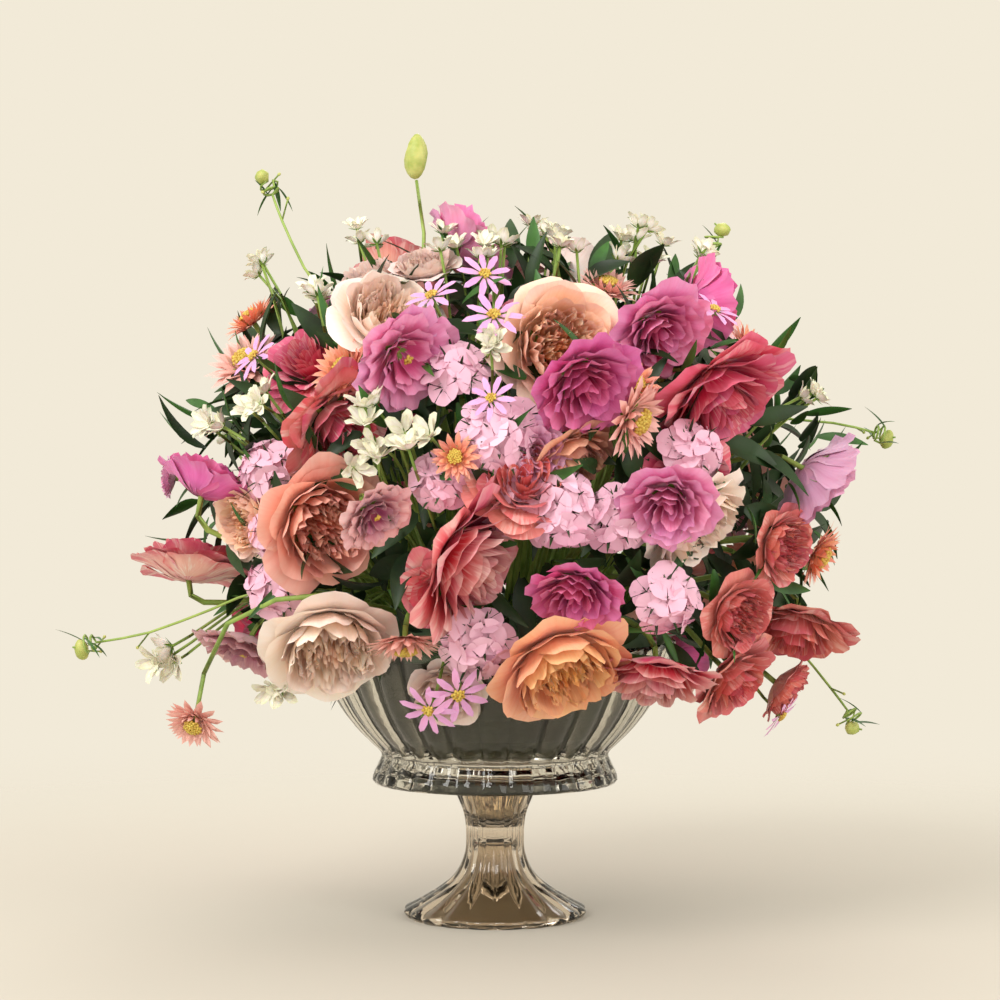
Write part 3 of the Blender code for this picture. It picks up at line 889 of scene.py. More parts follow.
class Flower:
    """A flower head of one form and finish, on its seat."""

    def __init__(self, name: str, form: Form, finish: Finish, seat: Seat) -> None:
        """Keep what the flower is made of."""
        self.name = name
        self.form = form
        self.finish = finish
        self.seat = seat

    def petals_into(self, sheet: BloomSheet, sink: float = 0.5) -> None:
        """Put every petal into a sheet.

        Args:
            sheet: The mesh in the making.
            sink: How far the base lies behind the seat's centre.
        """
        chance = sheet.chance
        for rank in self.form.value:
            offset = chance.uniform(0.0, math.tau)
            for index in range(rank.count):
                turn = offset + math.tau * index / rank.count + chance.uniform(-0.3, 0.3) * rank.jitter * 2
                size = 1.0 + chance.uniform(-0.5, 0.5) * rank.jitter
                lean = chance.uniform(-0.5, 0.5) * rank.jitter
                own = (
                    Matrix.Rotation(turn, 4, "Z")
                    @ Matrix.Rotation(lean, 4, "Y")
                    @ Matrix.Scale(size, 4)
                )
                sheet.add_petal(rank.petal, self.seat.place(sink) @ own, rank.layer)

    def build(self, nodes: tuple[str, ...] = ()) -> bpy.types.Object:
        """Make the flower's petals as one piece."""
        sheet = BloomSheet(self.name)
        self.petals_into(sheet)
        return sheet.finish(f"{self.name}_petals", self.finish, nodes)


@dataclass
class Greenery:
    """Stems, calyxes, leaves, buds and eyes, gathered while the flowers are built."""

    stems: BloomSheet = field(default_factory=lambda: BloomSheet("stems"))
    calyxes: BloomSheet = field(default_factory=lambda: BloomSheet("calyxes"))
    leaves: BloomSheet = field(default_factory=lambda: BloomSheet("leaves"))
    # Leaves in the darker leaf green, painted shade deep in the dome and behind the florets.
    shade: BloomSheet = field(default_factory=lambda: BloomSheet("shade"))
    buds: BloomSheet = field(default_factory=lambda: BloomSheet("buds"))
    eyes: BloomSheet = field(default_factory=lambda: BloomSheet("eyes"))

    def stem(self, seat: Seat, depth: float = 0.45, radius: float = 0.0021) -> None:
        """A stem from the foam to the back of a head, with its calyx.

        Args:
            seat: The head's seat.
            depth: How far the calyx lies behind the centre, as a share of the radius.
            radius: The stem's radius.
        """
        back = seat.centre - seat.facing * seat.radius * depth
        reach = (back - seat.foot).length
        rise = (seat.foot - FOAM_FOCUS).normalized()
        first = seat.foot + rise * reach * 0.5
        second = back - seat.facing * reach * 0.3
        self.stems.add_tube(bent_route(seat.foot, first, second, back), [radius] * STEM_POINTS)
        for index in range(SEPALS):
            turn = Matrix.Rotation(math.tau * index / SEPALS, 3, seat.facing)
            out = turn @ seat.facing.orthogonal().normalized()
            heading = (out * 0.9 + seat.facing * 0.45).normalized()
            root = back - seat.facing * seat.radius * 0.05
            long, wide = seat.radius * 0.6, seat.radius * 0.16
            self.calyxes.add_leaf(root, heading, long, wide, -0.15, face=-seat.facing)

    def eye(self, centre: Vector, axis: Vector, radius: float, grains: int) -> None:
        """A domed eye of small grains.

        Args:
            centre: The middle of the dome's base.
            axis: The way it faces.
            radius: The dome's radius.
            grains: How many grains it has.
        """
        turned = axis.normalized().to_track_quat("Z", "Y").to_matrix()
        for index in range(grains):
            share = (index + 0.5) / grains
            angle = index * GOLDEN_TURN
            out = math.sqrt(share)
            spot = Vector((out * math.cos(angle), out * math.sin(angle), 0.55 * math.sqrt(1.0 - 0.8 * share)))
            size = radius * 1.25 / math.sqrt(grains)
            self._grain(centre + turned @ (spot * radius), size)

    def _grain(self, centre: Vector, size: float) -> None:
        """One small grain of an eye."""
        made = bmesh.ops.create_icosphere(
            self.eyes.mesh, subdivisions=1, radius=size, matrix=Matrix.Translation(centre), calc_uvs=True
        )
        own = self.eyes.chance.random()
        for corner in made["verts"]:
            corner[self.eyes.tone] = own

    def finish(self) -> None:
        """Make each gathered mesh a piece."""
        self.stems.finish("flower_stems", Finish.STEM)
        self.calyxes.finish("flower_calyxes", Finish.CALYX)
        self.leaves.finish("leaves", Finish.LEAF)
        # The inner leaves take the darker leaf green, painted shade.
        self.shade.finish("inner_leaves", Finish.LEAF_DARK)
        self.buds.finish("buds", Finish.BUD)
        self.eyes.finish("flower_eyes", Finish.EYE)


# ---------------------------------------------------------------- the glass and what it holds


def smooth_outline(points: Outline, per_span: int) -> Outline:
    """More points along an outline, on a Catmull-Rom curve through the given ones.

    Args:
        points: Radius, height and flute depth of each point.
        per_span: How many points each span gives.

    Returns:
        The finer outline.
    """
    ends = [points[0], *points, points[-1]]
    fine = []
    for index in range(1, len(ends) - 2):
        a, b, c, d = (np.array(point) for point in ends[index - 1 : index + 3])
        for step in range(per_span):
            t = step / per_span
            spot = 0.5 * (
                2 * b + (c - a) * t + (2 * a - 5 * b + 4 * c - d) * t**2 + (3 * b - a - 3 * c + d) * t**3
            )
            fine.append((max(float(spot[0]), 0.0), float(spot[1]), max(float(spot[2]), 0.0)))
    return fine + [points[-1]]


@dataclass
class Turned:
    """A body turned about the axis, with flutes pressed into it."""

    name: str
    outline: Outline
    finish: Finish
    flutes: int
    steps: int = 240
    sharpness: float = 0.8

    def build(self) -> bpy.types.Object:
        """Spin the outline, press the flutes and make the piece."""
        sheet = BloomSheet(self.name)
        mesh = sheet.mesh
        depth = mesh.verts.layers.float.new("depth")
        corners = []
        for radius, height, flute in self.outline:
            corner = mesh.verts.new((radius, 0.0, height))
            corner[depth] = flute
            corners.append(corner)
        edges = [mesh.edges.new(pair) for pair in zip(corners, corners[1:])]
        bmesh.ops.spin(
            mesh, geom=corners + edges, cent=(0, 0, 0), axis=(0, 0, 1), angle=math.tau, steps=self.steps,
            use_merge=True,
        )
        bmesh.ops.remove_doubles(mesh, verts=mesh.verts, dist=1e-6)
        for corner in mesh.verts:
            share = abs(math.sin(0.5 * self.flutes * math.atan2(corner.co.y, corner.co.x)))
            scale = 1.0 - corner[depth] * (1.0 - share**self.sharpness)
            corner.co.x *= scale
            corner.co.y *= scale
        bmesh.ops.recalc_face_normals(mesh, faces=mesh.faces)
        return sheet.finish(self.name, self.finish, (self.name,))


@dataclass
class Glassware:
    """The pedestal and the bowl."""

    foot_flutes: int = 20
    foot_flute_depth: float = 0.055
    bowl_flutes: int = 30
    bowl_flute_depth: float = 0.032
    peg_flute_depth: float = 0.06
    seat_height: float = 0.1045

    def pedestal(self) -> bpy.types.Object:
        """The hollow, fluted pedestal with its scalloped foot."""
        deep = self.foot_flute_depth
        inner = [(0.0, 0.0685), (0.0168, 0.0685), (0.0216, 0.0805), (0.0254, 0.0915), (0.0262, 0.104)]
        outer = [
            (0.0315, 0.0985, deep * 0.3), (0.029, 0.091, deep), (0.0245, 0.08, deep),
            (0.0225, 0.07, deep), (0.022, 0.059, deep), (0.0228, 0.048, deep),
            (0.0275, 0.0355, deep), (0.0345, 0.027, deep), (0.0445, 0.0195, deep),
            (0.058, 0.0115, deep), (0.0675, 0.0065, deep), (0.069, 0.0035, deep * 0.8),
        ]
        under = [
            (0.0605, 0.0), (0.0545, 0.0055), (0.041, 0.0145), (0.0285, 0.024),
            (0.0205, 0.036), (0.0165, 0.048), (0.0115, 0.058), (0.0, 0.0605),
        ]
        outline = [(radius, height, 0.0) for radius, height in inner]
        outline.append((0.0305, 0.104, 0.0))
        outline += smooth_outline(outer, 4)
        outline.append((0.067, 0.0, deep * 0.5))
        outline += smooth_outline([(radius, height, 0.0) for radius, height in under], 3)
        return Turned("glass_pedestal", outline, Finish.FOOT_GLASS, self.foot_flutes).build()

    def bowl(self) -> bpy.types.Object:
        """The fluted bowl with its flared collar and the peg that sits in the pedestal."""
        deep = self.bowl_flute_depth
        peg = [(0.0, 0.07), (0.0158, 0.07), (0.0205, 0.081), (0.0243, 0.0915), (0.025, self.seat_height)]
        collar = [(0.078, 0.1095), (0.0845, 0.1065), (0.0885, 0.1025), (0.0908, 0.1015)]
        outside = [
            (0.0925, 0.1035, deep * 0.7), (0.0915, 0.1085, deep), (0.0875, 0.117, deep),
            (0.0858, 0.1235, deep), (0.0925, 0.1305, deep), (0.1045, 0.1425, deep),
            (0.117, 0.159, deep), (0.1275, 0.179, deep),
            (0.1335, 0.196, deep), (0.136, 0.206, deep * 0.5), (0.1345, 0.2085, 0.0),
        ]
        inside = [
            (0.1315, 0.206), (0.128, 0.195), (0.1215, 0.178), (0.111, 0.158),
            (0.098, 0.1412), (0.083, 0.1275), (0.068, 0.1222), (0.0, 0.1213),
        ]
        outline = [(radius, height, self.peg_flute_depth if radius else 0.0) for radius, height in peg]
        outline += [(0.034, self.seat_height, 0.0), (0.038, 0.1085, 0.0)]
        outline += [(radius, height, 0.0) for radius, height in collar]
        outline += smooth_outline(outside, 4)
        outline += smooth_outline([(radius, height, 0.0) for radius, height in inside], 3)
        return Turned("glass_bowl", outline, Finish.BOWL_GLASS, self.bowl_flutes).build()

    def build(self) -> None:
        """Make the glass."""
        self.pedestal()
        self.bowl()


@dataclass
class Filling:
    """The leaf lining and the foam, dressed where they stand."""

    def build(self) -> None:
        """Give the two frame nodes their finishes."""
        for node, finish in (("leaf_lining", Finish.LINING), ("floral_foam", Finish.FOAM)):
            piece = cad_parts[node]
            piece.data.materials.clear()
            piece.data.materials.append(finish.value.material())
            LOG.info("%s: dressed", node)


# ---------------------------------------------------------------- the flowers of the arrangement

Bloom = tuple[Form, Finish, float, float, float, float, float, float]
Spot = tuple[float, float, float, float, int]
# The flowers that frame nodes seat: family, form, how much wider the open head is than the node, and each
# flower's finish and its turn to the right and up, in degrees.
FAMILIES: tuple[tuple[str, Form, float, tuple[tuple[Finish, float, float], ...]], ...] = (
    ("garden_rose", Form.GARDEN_ROSE, 1.3, (
        (Finish.ROSE_CREAM, 0, 25), (Finish.ROSE_APRICOT, -10, 15), (Finish.ROSE_CORAL, 15, -5),
        (Finish.ROSE_CREAM, 5, 0), (Finish.ROSE_GOLD, 0, 12), (Finish.ROSE_CREAM, 30, 5),
        (Finish.ROSE_RUST, 10, -15), (Finish.ROSE_GOLD, 0, 0), (Finish.ROSE_APRICOT, 0, 0),
        (Finish.ROSE_CREAM, 0, 0), (Finish.ROSE_BLUSH, 0, 0),
    )),
    ("striped_rose", Form.STRIPED_ROSE, 1.32, (
        (Finish.STRIPE_CRIMSON, 30, 35), (Finish.STRIPE_HOT, -5, 0), (Finish.STRIPE_BLUSH, 10, -10),
        (Finish.STRIPE_BLUSH, 15, 0), (Finish.STRIPE_CRIMSON, 10, -20),
        (Finish.STRIPE_SALMON, -20, 0), (Finish.STRIPE_CRIMSON, 0, 0), (Finish.STRIPE_BLUSH, 0, 0),
        (Finish.STRIPE_HOT, 0, 0), (Finish.STRIPE_SALMON, 0, 0),
    )),
    ("lisianthus", Form.LISIANTHUS, 1.3, (
        (Finish.PINK_CLEAR, 5, -5), (Finish.PINK_DEEP, 0, 5), (Finish.PINK_CLEAR, 0, 0),
        (Finish.PINK_DEEP, 10, 0), (Finish.PINK_CLEAR, -5, 0), (Finish.PINK_DEEP, -10, 0),
        (Finish.PINK_PALE, 0, 0), (Finish.PINK_DEEP, 10, 0), (Finish.PINK_PALE, 10, 0),
        (Finish.PINK_LILAC, 0, 0), (Finish.PINK_CLEAR, 0, 0), (Finish.PINK_DEEP, 0, 0),
        (Finish.PINK_CLEAR, 0, 0), (Finish.PINK_LILAC, 0, 0), (Finish.PINK_PALE, 0, 0),
    )),
    ("coral_bloom", Form.CORAL, 1.22, (
        (Finish.CORAL, 15, -5), (Finish.CORAL, 30, -10), (Finish.CORAL_PEACH, -10, 0),
        (Finish.CORAL_PEACH, 10, 0), (Finish.CORAL, -5, -45), (Finish.CORAL, 0, 0),
        (Finish.CORAL_PEACH, 0, 0), (Finish.CORAL, 0, 0),
    )),
)
WIDE_OPEN = ("lisianthus_01", "lisianthus_07", "lisianthus_09", "lisianthus_15")
FLORET_SWELL = 1.2

# Blooms without a node: form, finish, across, height, radius, lift (millimetres), right, up (degrees).
EXTRA_FRONT: tuple[Bloom, ...] = (
    (Form.GARDEN_ROSE, Finish.STRIPE_SALMON, 180, 232, 29, -6, 0, 0),
    (Form.STRIPED_ROSE, Finish.STRIPE_HOT, -142, 425, 32, -14, 10, 0),
    (Form.STRIPED_ROSE, Finish.STRIPE_SALMON, 180, 180, 33, -6, 0, -10),
    (Form.STRIPED_ROSE, Finish.STRIPE_HOT, 44, 472, 28, -16, 0, 10),
    (Form.STRIPED_ROSE, Finish.STRIPE_SALMON, 20, 332, 34, -6, 0, 30),
    (Form.STRIPED_ROSE, Finish.STRIPE_HOT, 150, 335, 30, -20, 0, 0),
    (Form.CORAL, Finish.CORAL_PEACH, -106, 410, 25, 4, 0, 0),
    (Form.CORAL, Finish.CORAL_PEACH, -190, 460, 24, -8, 0, 0),
    (Form.CORAL, Finish.CORAL_PEACH, -26, 347, 17, 10, 0, 0),
    (Form.CORAL, Finish.CORAL, 84, 482, 24, -6, 0, 0),
    (Form.GARDEN_ROSE, Finish.ROSE_BLUSH, -92, 480, 26, -4, 0, 0),
    (Form.GARDEN_ROSE, Finish.ROSE_BLUSH, -52, 486, 24, 0, 0, 0),
    (Form.GARDEN_ROSE, Finish.ROSE_APRICOT, -188, 300, 27, -10, 0, 0),
    (Form.GARDEN_ROSE, Finish.STRIPE_SALMON, 212, 282, 28, -4, 0, 0),
    (Form.LISIANTHUS, Finish.PINK_LILAC, -243, 330, 14, 0, 0, 0),
    (Form.LISIANTHUS, Finish.PINK_LILAC, 30, 352, 22, -8, 0, 0),
    (Form.GARDEN_ROSE, Finish.ROSE_BLUSH, -40, 160, 26, -30, 0, 0),
    (Form.STRIPED_ROSE, Finish.STRIPE_BLUSH, -40, 250, 26, -16, 0, 0),
    (Form.GARDEN_ROSE, Finish.STRIPE_SALMON, 226, 166, 25, -10, 0, 0),
    (Form.CORAL, Finish.CORAL_PEACH, 100, 400, 18, 0, 0, 0),
)
EXTRA_BACK: tuple[Bloom, ...] = (
    (Form.CORAL, Finish.CORAL_PEACH, 60, 330, 25, 0, 0, 0),
    (Form.LISIANTHUS, Finish.PINK_CLEAR, -60, 200, 27, 0, 0, 0),
    (Form.STRIPED_ROSE, Finish.STRIPE_SALMON, 160, 240, 34, -4, 0, 0),
    (Form.LISIANTHUS, Finish.PINK_DEEP, -100, 330, 27, 4, 0, 0),
    (Form.GARDEN_ROSE, Finish.ROSE_CREAM, -190, 270, 32, -4, 0, 0),
    (Form.GARDEN_ROSE, Finish.ROSE_CORAL, 195, 370, 33, -2, 0, 0),
    (Form.CORAL, Finish.CORAL, -45, 395, 25, 0, 0, 0),
    (Form.STRIPED_ROSE, Finish.STRIPE_CRIMSON, 55, 395, 31, -6, 0, 0),
    (Form.LISIANTHUS, Finish.PINK_PALE, -165, 400, 27, -4, 0, 0),
    (Form.CORAL, Finish.CORAL_PEACH, 118, 455, 24, 0, 0, 0),
    (Form.STRIPED_ROSE, Finish.STRIPE_BLUSH, 0, 498, 30, -4, 0, 0),
    (Form.GARDEN_ROSE, Finish.ROSE_GOLD, -75, 270, 31, -4, 0, 0),
    (Form.LISIANTHUS, Finish.PINK_CLEAR, 40, 225, 26, 0, 0, 0),
    (Form.GARDEN_ROSE, Finish.ROSE_BLUSH, -30, 160, 28, -10, 0, 0),
    (Form.LISIANTHUS, Finish.PINK_DEEP, 150, 180, 27, -4, 0, 0),
    (Form.STRIPED_ROSE, Finish.STRIPE_HOT, -190, 200, 30, -8, 0, 0),
    (Form.GARDEN_ROSE, Finish.ROSE_CORAL, 225, 310, 27, -8, 0, 0),
    (Form.CORAL, Finish.CORAL, -215, 300, 24, -4, 0, 0),
    (Form.LISIANTHUS, Finish.PINK_LILAC, -130, 460, 25, -4, 0, 0),
    (Form.STRIPED_ROSE, Finish.STRIPE_SALMON, 80, 290, 29, -8, 0, 0),
)
SPRIG_NODES = (
    "tall_bud_stem", "left_bud_sprig", "right_bud_sprig", "low_right_sprig", "wispy_sprig",
    "clawed_seed_head",
)
SWEET_WILLIAMS: tuple[Spot, ...] = (
    (48, 310, 26, -2, -1),
    (-12, 214, 26, -4, -1),
    (122, 246, 24, -2, -1),
    (-28, 412, 22, -8, -1),
    (142, 352, 20, -6, -1),
    (88, 305, 22, -6, -1),
    (-40, 330, 18, -10, -1),
    (-170, 340, 22, -10, -1),
    (-165, 245, 22, -10, -1),
    (0, 335, 24, 0, 1),
    (110, 240, 24, 0, 1),
    (-150, 290, 24, 0, 1),
    (-20, 460, 24, 0, 1),
    (190, 300, 22, 0, 1),
)
DAISIES: tuple[Spot, ...] = (
    (-42, 450, 19, 8, -1),
    (0, 438, 20, 6, -1),
    (-6, 466, 18, 6, -1),
    (-24, 186, 20, 2, -1),
    (-44, 176, 19, 4, -1),
    (205, 160, 18, 4, -1),
    (-164, 412, 18, 6, -1),
    (150, 442, 18, 8, -1),
    (-2, 385, 16, 2, -1),
    (70, 445, 18, 8, 1),
    (-140, 370, 18, 8, 1),
    (0, 250, 18, 12, 1),
    (170, 275, 18, 10, 1),
    (-60, 360, 18, 8, 1),
)
WHITE_BLOOMS: tuple[Spot, ...] = (
    (-92, 503, 11, 8, -1), (-30, 492, 12, 10, -1), (0, 500, 12, 8, -1), (-10, 480, 11, 10, -1),
    (26, 512, 12, 4, -1), (44, 506, 12, 6, -1), (54, 494, 11, 8, -1), (92, 498, 13, 4, -1),
    (106, 508, 12, 2, -1), (116, 488, 12, 6, -1), (146, 490, 12, 4, -1), (-200, 372, 13, 4, -1),
    (-168, 386, 12, 8, -1), (-88, 378, 14, 8, -1), (-54, 360, 15, 6, -1), (-84, 346, 14, 6, -1),
    (0, 424, 12, 8, -1), (-242, 200, 15, 2, -1), (-172, 478, 12, 6, -1), (-120, 452, 12, 8, -1),
    (225, 388, 11, 4, -1), (-150, 190, 13, 6, -1),
    (40, 470, 12, 10, 1), (-10, 420, 12, 12, 1), (120, 340, 12, 12, 1), (-120, 210, 12, 12, 1),
    (60, 170, 12, 10, 1), (-200, 360, 12, 8, 1), (200, 210, 12, 8, 1), (-85, 300, 12, 12, 1),
)


class Arrangement:
    """All the flowers, greens and sprigs above the bowl."""

    def __init__(self) -> None:
        """Start with empty greenery."""
        self.greens = Greenery()

    def flower(self, name: str, form: Form, finish: Finish, seat: Seat, nodes: tuple[str, ...] = ()) -> None:
        """One flower with its stem, and its eye where it has one.

        Args:
            name: The flower's name.
            form: Its build.
            finish: Its finish.
            seat: Its seat.
            nodes: The frame nodes it stands for.
        """
        Flower(name, form, finish, seat).build(nodes)
        self.greens.stem(seat)
        if form is Form.CORAL:
            spot = seat.centre - seat.facing * seat.radius * 0.24
            self.greens.eye(spot, seat.facing, seat.radius * 0.3, CORAL_GRAINS)
        if form is Form.OPEN_LISIANTHUS:
            spot = seat.centre - seat.facing * seat.radius * 0.1
            self.greens.eye(spot, seat.facing, seat.radius * 0.09, PISTIL_GRAINS)

    def node_flowers(self) -> None:
        """The flowers that frame nodes seat."""
        for family, usual, swell, flowers in FAMILIES:
            for number, (finish, right, up) in enumerate(flowers, 1):
                node = f"{family}_{number:02d}"
                form = Form.OPEN_LISIANTHUS if node in WIDE_OPEN else usual
                self.flower(node, form, finish, Seat.of_node(node, swell).turned(right, up), (node,))
        self.hanging_bloom("coral_bloom_hanging")

    def hanging_bloom(self, node: str) -> None:
        """The bloom that hangs out at the left on a long curved stem."""
        facing = Vector((-0.25, -0.75, -0.6)).normalized()
        centre = Vector((-0.221, -0.075, 0.147))
        seat = Seat(centre, facing, 0.0225, centre)
        Flower(node, Form.CORAL, Finish.CORAL, seat).build((node,))
        self.greens.eye(centre - facing * 0.0054, facing, 0.0068, CORAL_GRAINS)
        route = [
            Vector((-0.112, -0.17, 0.252)), Vector((-0.153, -0.148, 0.247)), Vector((-0.19, -0.118, 0.228)),
            Vector((-0.21, -0.088, 0.19)), centre - facing * 0.008,
        ]
        self.greens.stems.add_tube(route, [0.002, 0.0019, 0.0018, 0.0017, 0.0016])

    def extra_flowers(self) -> None:
        """The flowers between them."""
        for side, rows in ((-1, EXTRA_FRONT), (1, EXTRA_BACK)):
            for number, (form, finish, across, height, radius, lift, right, up) in enumerate(rows, 1):
                seat = Seat.on_dome(across, height, radius, lift, side).turned(right, up)
                place = "front" if side < 0 else "back"
                self.flower(f"{place}_{form.name.lower()}_{number:02d}", form, finish, seat)

    def sweet_william(self, name: str, seat: Seat, nodes: tuple[str, ...] = ()) -> None:
        """A domed cluster of toothed florets with needle bracts behind it."""
        sheet = BloomSheet(name)
        chance = sheet.chance
        turned = seat.facing.to_track_quat("Z", "Y").to_matrix()
        count = max(10, int((seat.radius / 0.0125) ** 2 * 3.2))
        for index in range(count):
            share = (index + 0.5) / count
            out = math.sqrt(share) * 1.15
            angle = index * GOLDEN_TURN
            lean = out * 0.85
            off = math.sin(lean)
            way = turned @ Vector((off * math.cos(angle), off * math.sin(angle), math.cos(lean)))
            spot = seat.centre + way * seat.radius * 1.05 - seat.facing * seat.radius * 0.7
            tilt = (way + Vector([chance.uniform(-0.3, 0.3) for _ in range(3)])).normalized()
            floret = Seat(spot, tilt, FLORET_RADIUS * chance.uniform(0.85, 1.1), spot)
            Flower(name, Form.FLORET, Finish.FLORET, floret).petals_into(sheet, 0.1)
            # Each floret's small leaf goes into the sheet in the darker leaf green, painted shade under the
            # cluster.
            self.greens.shade.add_leaf(spot - way * 0.004, way + tilt * 0.3, 0.016, 0.0022, 0.0)
        back = seat.centre - seat.facing * seat.radius * 0.5
        for index in range(BRACTS):
            angle = math.tau * index / BRACTS
            way = turned @ Vector((math.cos(angle), math.sin(angle), chance.uniform(0.0, 0.8)))
            self.greens.leaves.add_leaf(back, way, seat.radius * 1.15, 0.0024, 0.0)
        sheet.finish(f"{name}_florets", Finish.FLORET, nodes)
        self.greens.stem(seat, 0.8)

    def clusters(self) -> None:
        """Every Sweet William cluster."""
        for number in range(1, 6):
            node = f"sweet_william_{number:02d}"
            self.sweet_william(node, Seat.of_node(node, FLORET_SWELL), (node,))
        for number, (across, height, radius, lift, side) in enumerate(SWEET_WILLIAMS, 1):
            seat = Seat.on_dome(across, height, radius, lift, side)
            self.sweet_william(f"floret_cluster_{number:02d}", seat)

    def small_blooms(self) -> None:
        """The daisies and the white spotted blooms."""
        daisies = BloomSheet("daisies")
        for across, height, radius, lift, side in DAISIES:
            seat = Seat.on_dome(across, height, radius, lift + 6, side)
            seat = seat.turned(daisies.chance.uniform(-25, 25), daisies.chance.uniform(-25, 15))
            Flower("daisy", Form.DAISY, Finish.DAISY, seat).petals_into(daisies, 0.1)
            spot = seat.centre - seat.facing * seat.radius * 0.05
            self.greens.eye(spot, seat.facing, seat.radius * 0.22, DAISY_GRAINS)
            self.greens.stem(seat, 0.2, 0.0012)
        daisies.finish("daisies", Finish.DAISY)
        whites = BloomSheet("white_blooms")
        chance = whites.chance
        for across, height, radius, lift, side in WHITE_BLOOMS:
            for _ in range(3):
                beside = across + chance.uniform(-9, 9)
                level = height + chance.uniform(-8, 8)
                seat = Seat.on_dome(beside, level, radius, lift + chance.uniform(-2, 8), side)
                seat = seat.turned(chance.uniform(-50, 50), chance.uniform(-20, 60))
                Flower("white", Form.WHITE, Finish.WHITE, seat).petals_into(whites, 0.5)
                self.greens.stem(seat, 0.5, 0.0011)
        whites.finish("white_blooms", Finish.WHITE)

    def dome_ways(self, count: int, fall: float, start: float) -> Iterator[tuple[Vector, float]]:
        """Directions spread evenly over the dome, from its top down.

        Args:
            count: How many directions there are.
            fall: How far down the last one points, from 1 at the top.
            start: The turn of the first one.

        Yields:
            The direction, and how steeply it rises.
        """
        for index in range(count):
            rise = 1.0 - fall * (index + 0.5) / count
            turn = index * GOLDEN_TURN + start
            flat = math.sqrt(max(1.0 - rise * rise, 0.0))
            yield Vector((flat * math.cos(turn), flat * math.sin(turn), rise)), rise

    def inner_leaves(self) -> None:
        """The leaves that fill the dome behind the blooms, in the darker leaf green that paints the shade
        there.
        """
        chance = self.greens.shade.chance
        for way, rise in self.dome_ways(INNER_LEAVES, 1.86, 0.0):
            tall = DOME_RISE if rise > 0 else DOME_FALL * 0.72
            depth = chance.uniform(0.66, 0.92)
            spot = DOME_MIDDLE + Vector((way.x * DOME_ACROSS, way.y * DOME_DEPTH, way.z * tall)) * depth
            in_bowl = spot.z < BOWL_RIM_HEIGHT and math.hypot(spot.x, spot.y) < BOWL_RIM_RADIUS
            if spot.z < 0.15 or in_bowl:
                continue
            aside = Vector([chance.uniform(-1, 1) for _ in range(3)])
            heading = (way * 0.45 + aside).normalized()
            length = chance.uniform(0.03, 0.055)
            self.greens.shade.add_leaf(spot, heading, length, chance.uniform(0.009, 0.019), 0.25, face=way)

    def outer_leaves(self) -> None:
        """The brighter leaves that show between the blooms."""
        chance = self.greens.leaves.chance
        for way, rise in self.dome_ways(OUTER_LEAVES, 1.75, 0.7):
            tall = DOME_RISE if rise > 0 else DOME_FALL * 0.68
            spot = DOME_MIDDLE + Vector((way.x * DOME_ACROSS, way.y * DOME_DEPTH, way.z * tall)) * 0.93
            if spot.z < 0.165:
                continue
            aside = Vector([chance.uniform(-1, 1) for _ in range(3)])
            heading = (way * 0.8 + aside).normalized()
            length = chance.uniform(0.025, 0.05)
            self.greens.leaves.add_leaf(spot, heading, length, chance.uniform(0.004, 0.011), 0.2, face=way)

    def sprig(self, route: list[Vector], bud: float, leaves: int, radius: float = 0.0011) -> None:
        """A wispy sprig: a stem with narrow leaves, side buds and a bud at its tip.

        Args:
            route: The points of its stem.
            bud: The radius of its tip bud.
            leaves: How many leaves it has.
            radius: The stem's radius at its foot.
        """
        greens = self.greens
        chance = greens.leaves.chance
        count = len(route)
        radii = [radius * (1.0 - 0.35 * index / count) for index in range(count)]
        greens.stems.add_tube(route, radii, tone=chance.random())
        tip, before = route[-1], route[-2]
        axis = (tip - before).normalized()
        if bud:
            greens.buds.add_pod(tip - axis * bud * 0.8, axis, bud, bud * 3.0)
        for index in range(leaves):
            share = (index + 1.2) / (leaves + 1.4)
            spot = route[min(int(share * (count - 1)), count - 2)]
            along = (route[min(int(share * (count - 1)) + 1, count - 1)] - spot).normalized()
            aside = along.orthogonal().normalized()
            aside.rotate(Matrix.Rotation(index * 2.4 + chance.random(), 3, along))
            way = (along * 0.75 + aside * 0.65).normalized()
            if index % 3 == 2:
                stalk = spot + way * chance.uniform(0.008, 0.018)
                greens.stems.add_tube([spot, (spot + stalk) * 0.5, stalk], [radius * 0.6] * 3, 5)
                greens.buds.add_pod(stalk, way, bud * 0.6 + 0.0012, bud * 1.6 + 0.003)
            else:
                length = chance.uniform(0.016, 0.032)
                greens.leaves.add_leaf(spot, way, length, chance.uniform(0.0022, 0.0045), 0.15)

    def sprigs(self) -> None:
        """The sprigs that frame nodes carry."""
        for node in SPRIG_NODES:
            self.node_sprig(node)

    def node_sprig(self, node: str) -> None:
        """A sprig along a frame node's own route."""
        points = head_cloud(node)
        order = points[np.argsort(np.linalg.norm(points - HEART_OF_DOME, axis=1))]
        stations: list[np.ndarray] = []
        members: list[list[np.ndarray]] = []
        for point in order:
            for index, station in enumerate(stations):
                if np.linalg.norm(np.mean(members[index], axis=0) - point) < 0.0045:
                    members[index].append(point)
                    break
            else:
                stations.append(point)
                members.append([point])
        route = [Vector(np.mean(group, axis=0)) for group in members]
        chain = [route.pop(0)]
        while route:
            nearest = min(range(len(route)), key=lambda index: (route[index] - chain[-1]).length)
            chain.append(route.pop(nearest))
        if node == "tall_bud_stem":
            tip = Vector(points[np.argmax(points[:, 2])])
            axis = Vector((0.06, 0.0, 1.0)).normalized()
            self.sprig([spot for spot in chain if spot.z < tip.z - 0.03], 0.0, 0, 0.0018)
            sheet = BloomSheet(node)
            sheet.add_pod(tip - axis * 0.017, axis, 0.0085, 0.034, 0.2)
            sheet.finish(f"{node}_bud", Finish.BUD, (node,))
            return
        sheet = BloomSheet(node)
        axis = (chain[-1] - chain[-5]).normalized()
        sheet.add_pod(chain[-1] - axis * 0.008, axis, 0.0052, 0.016, 0.3)
        sheet.finish(f"{node}_bud", Finish.BUD, (node,))
        self.sprig(chain[:-3], 0.0, 9 if node != "clawed_seed_head" else 2)

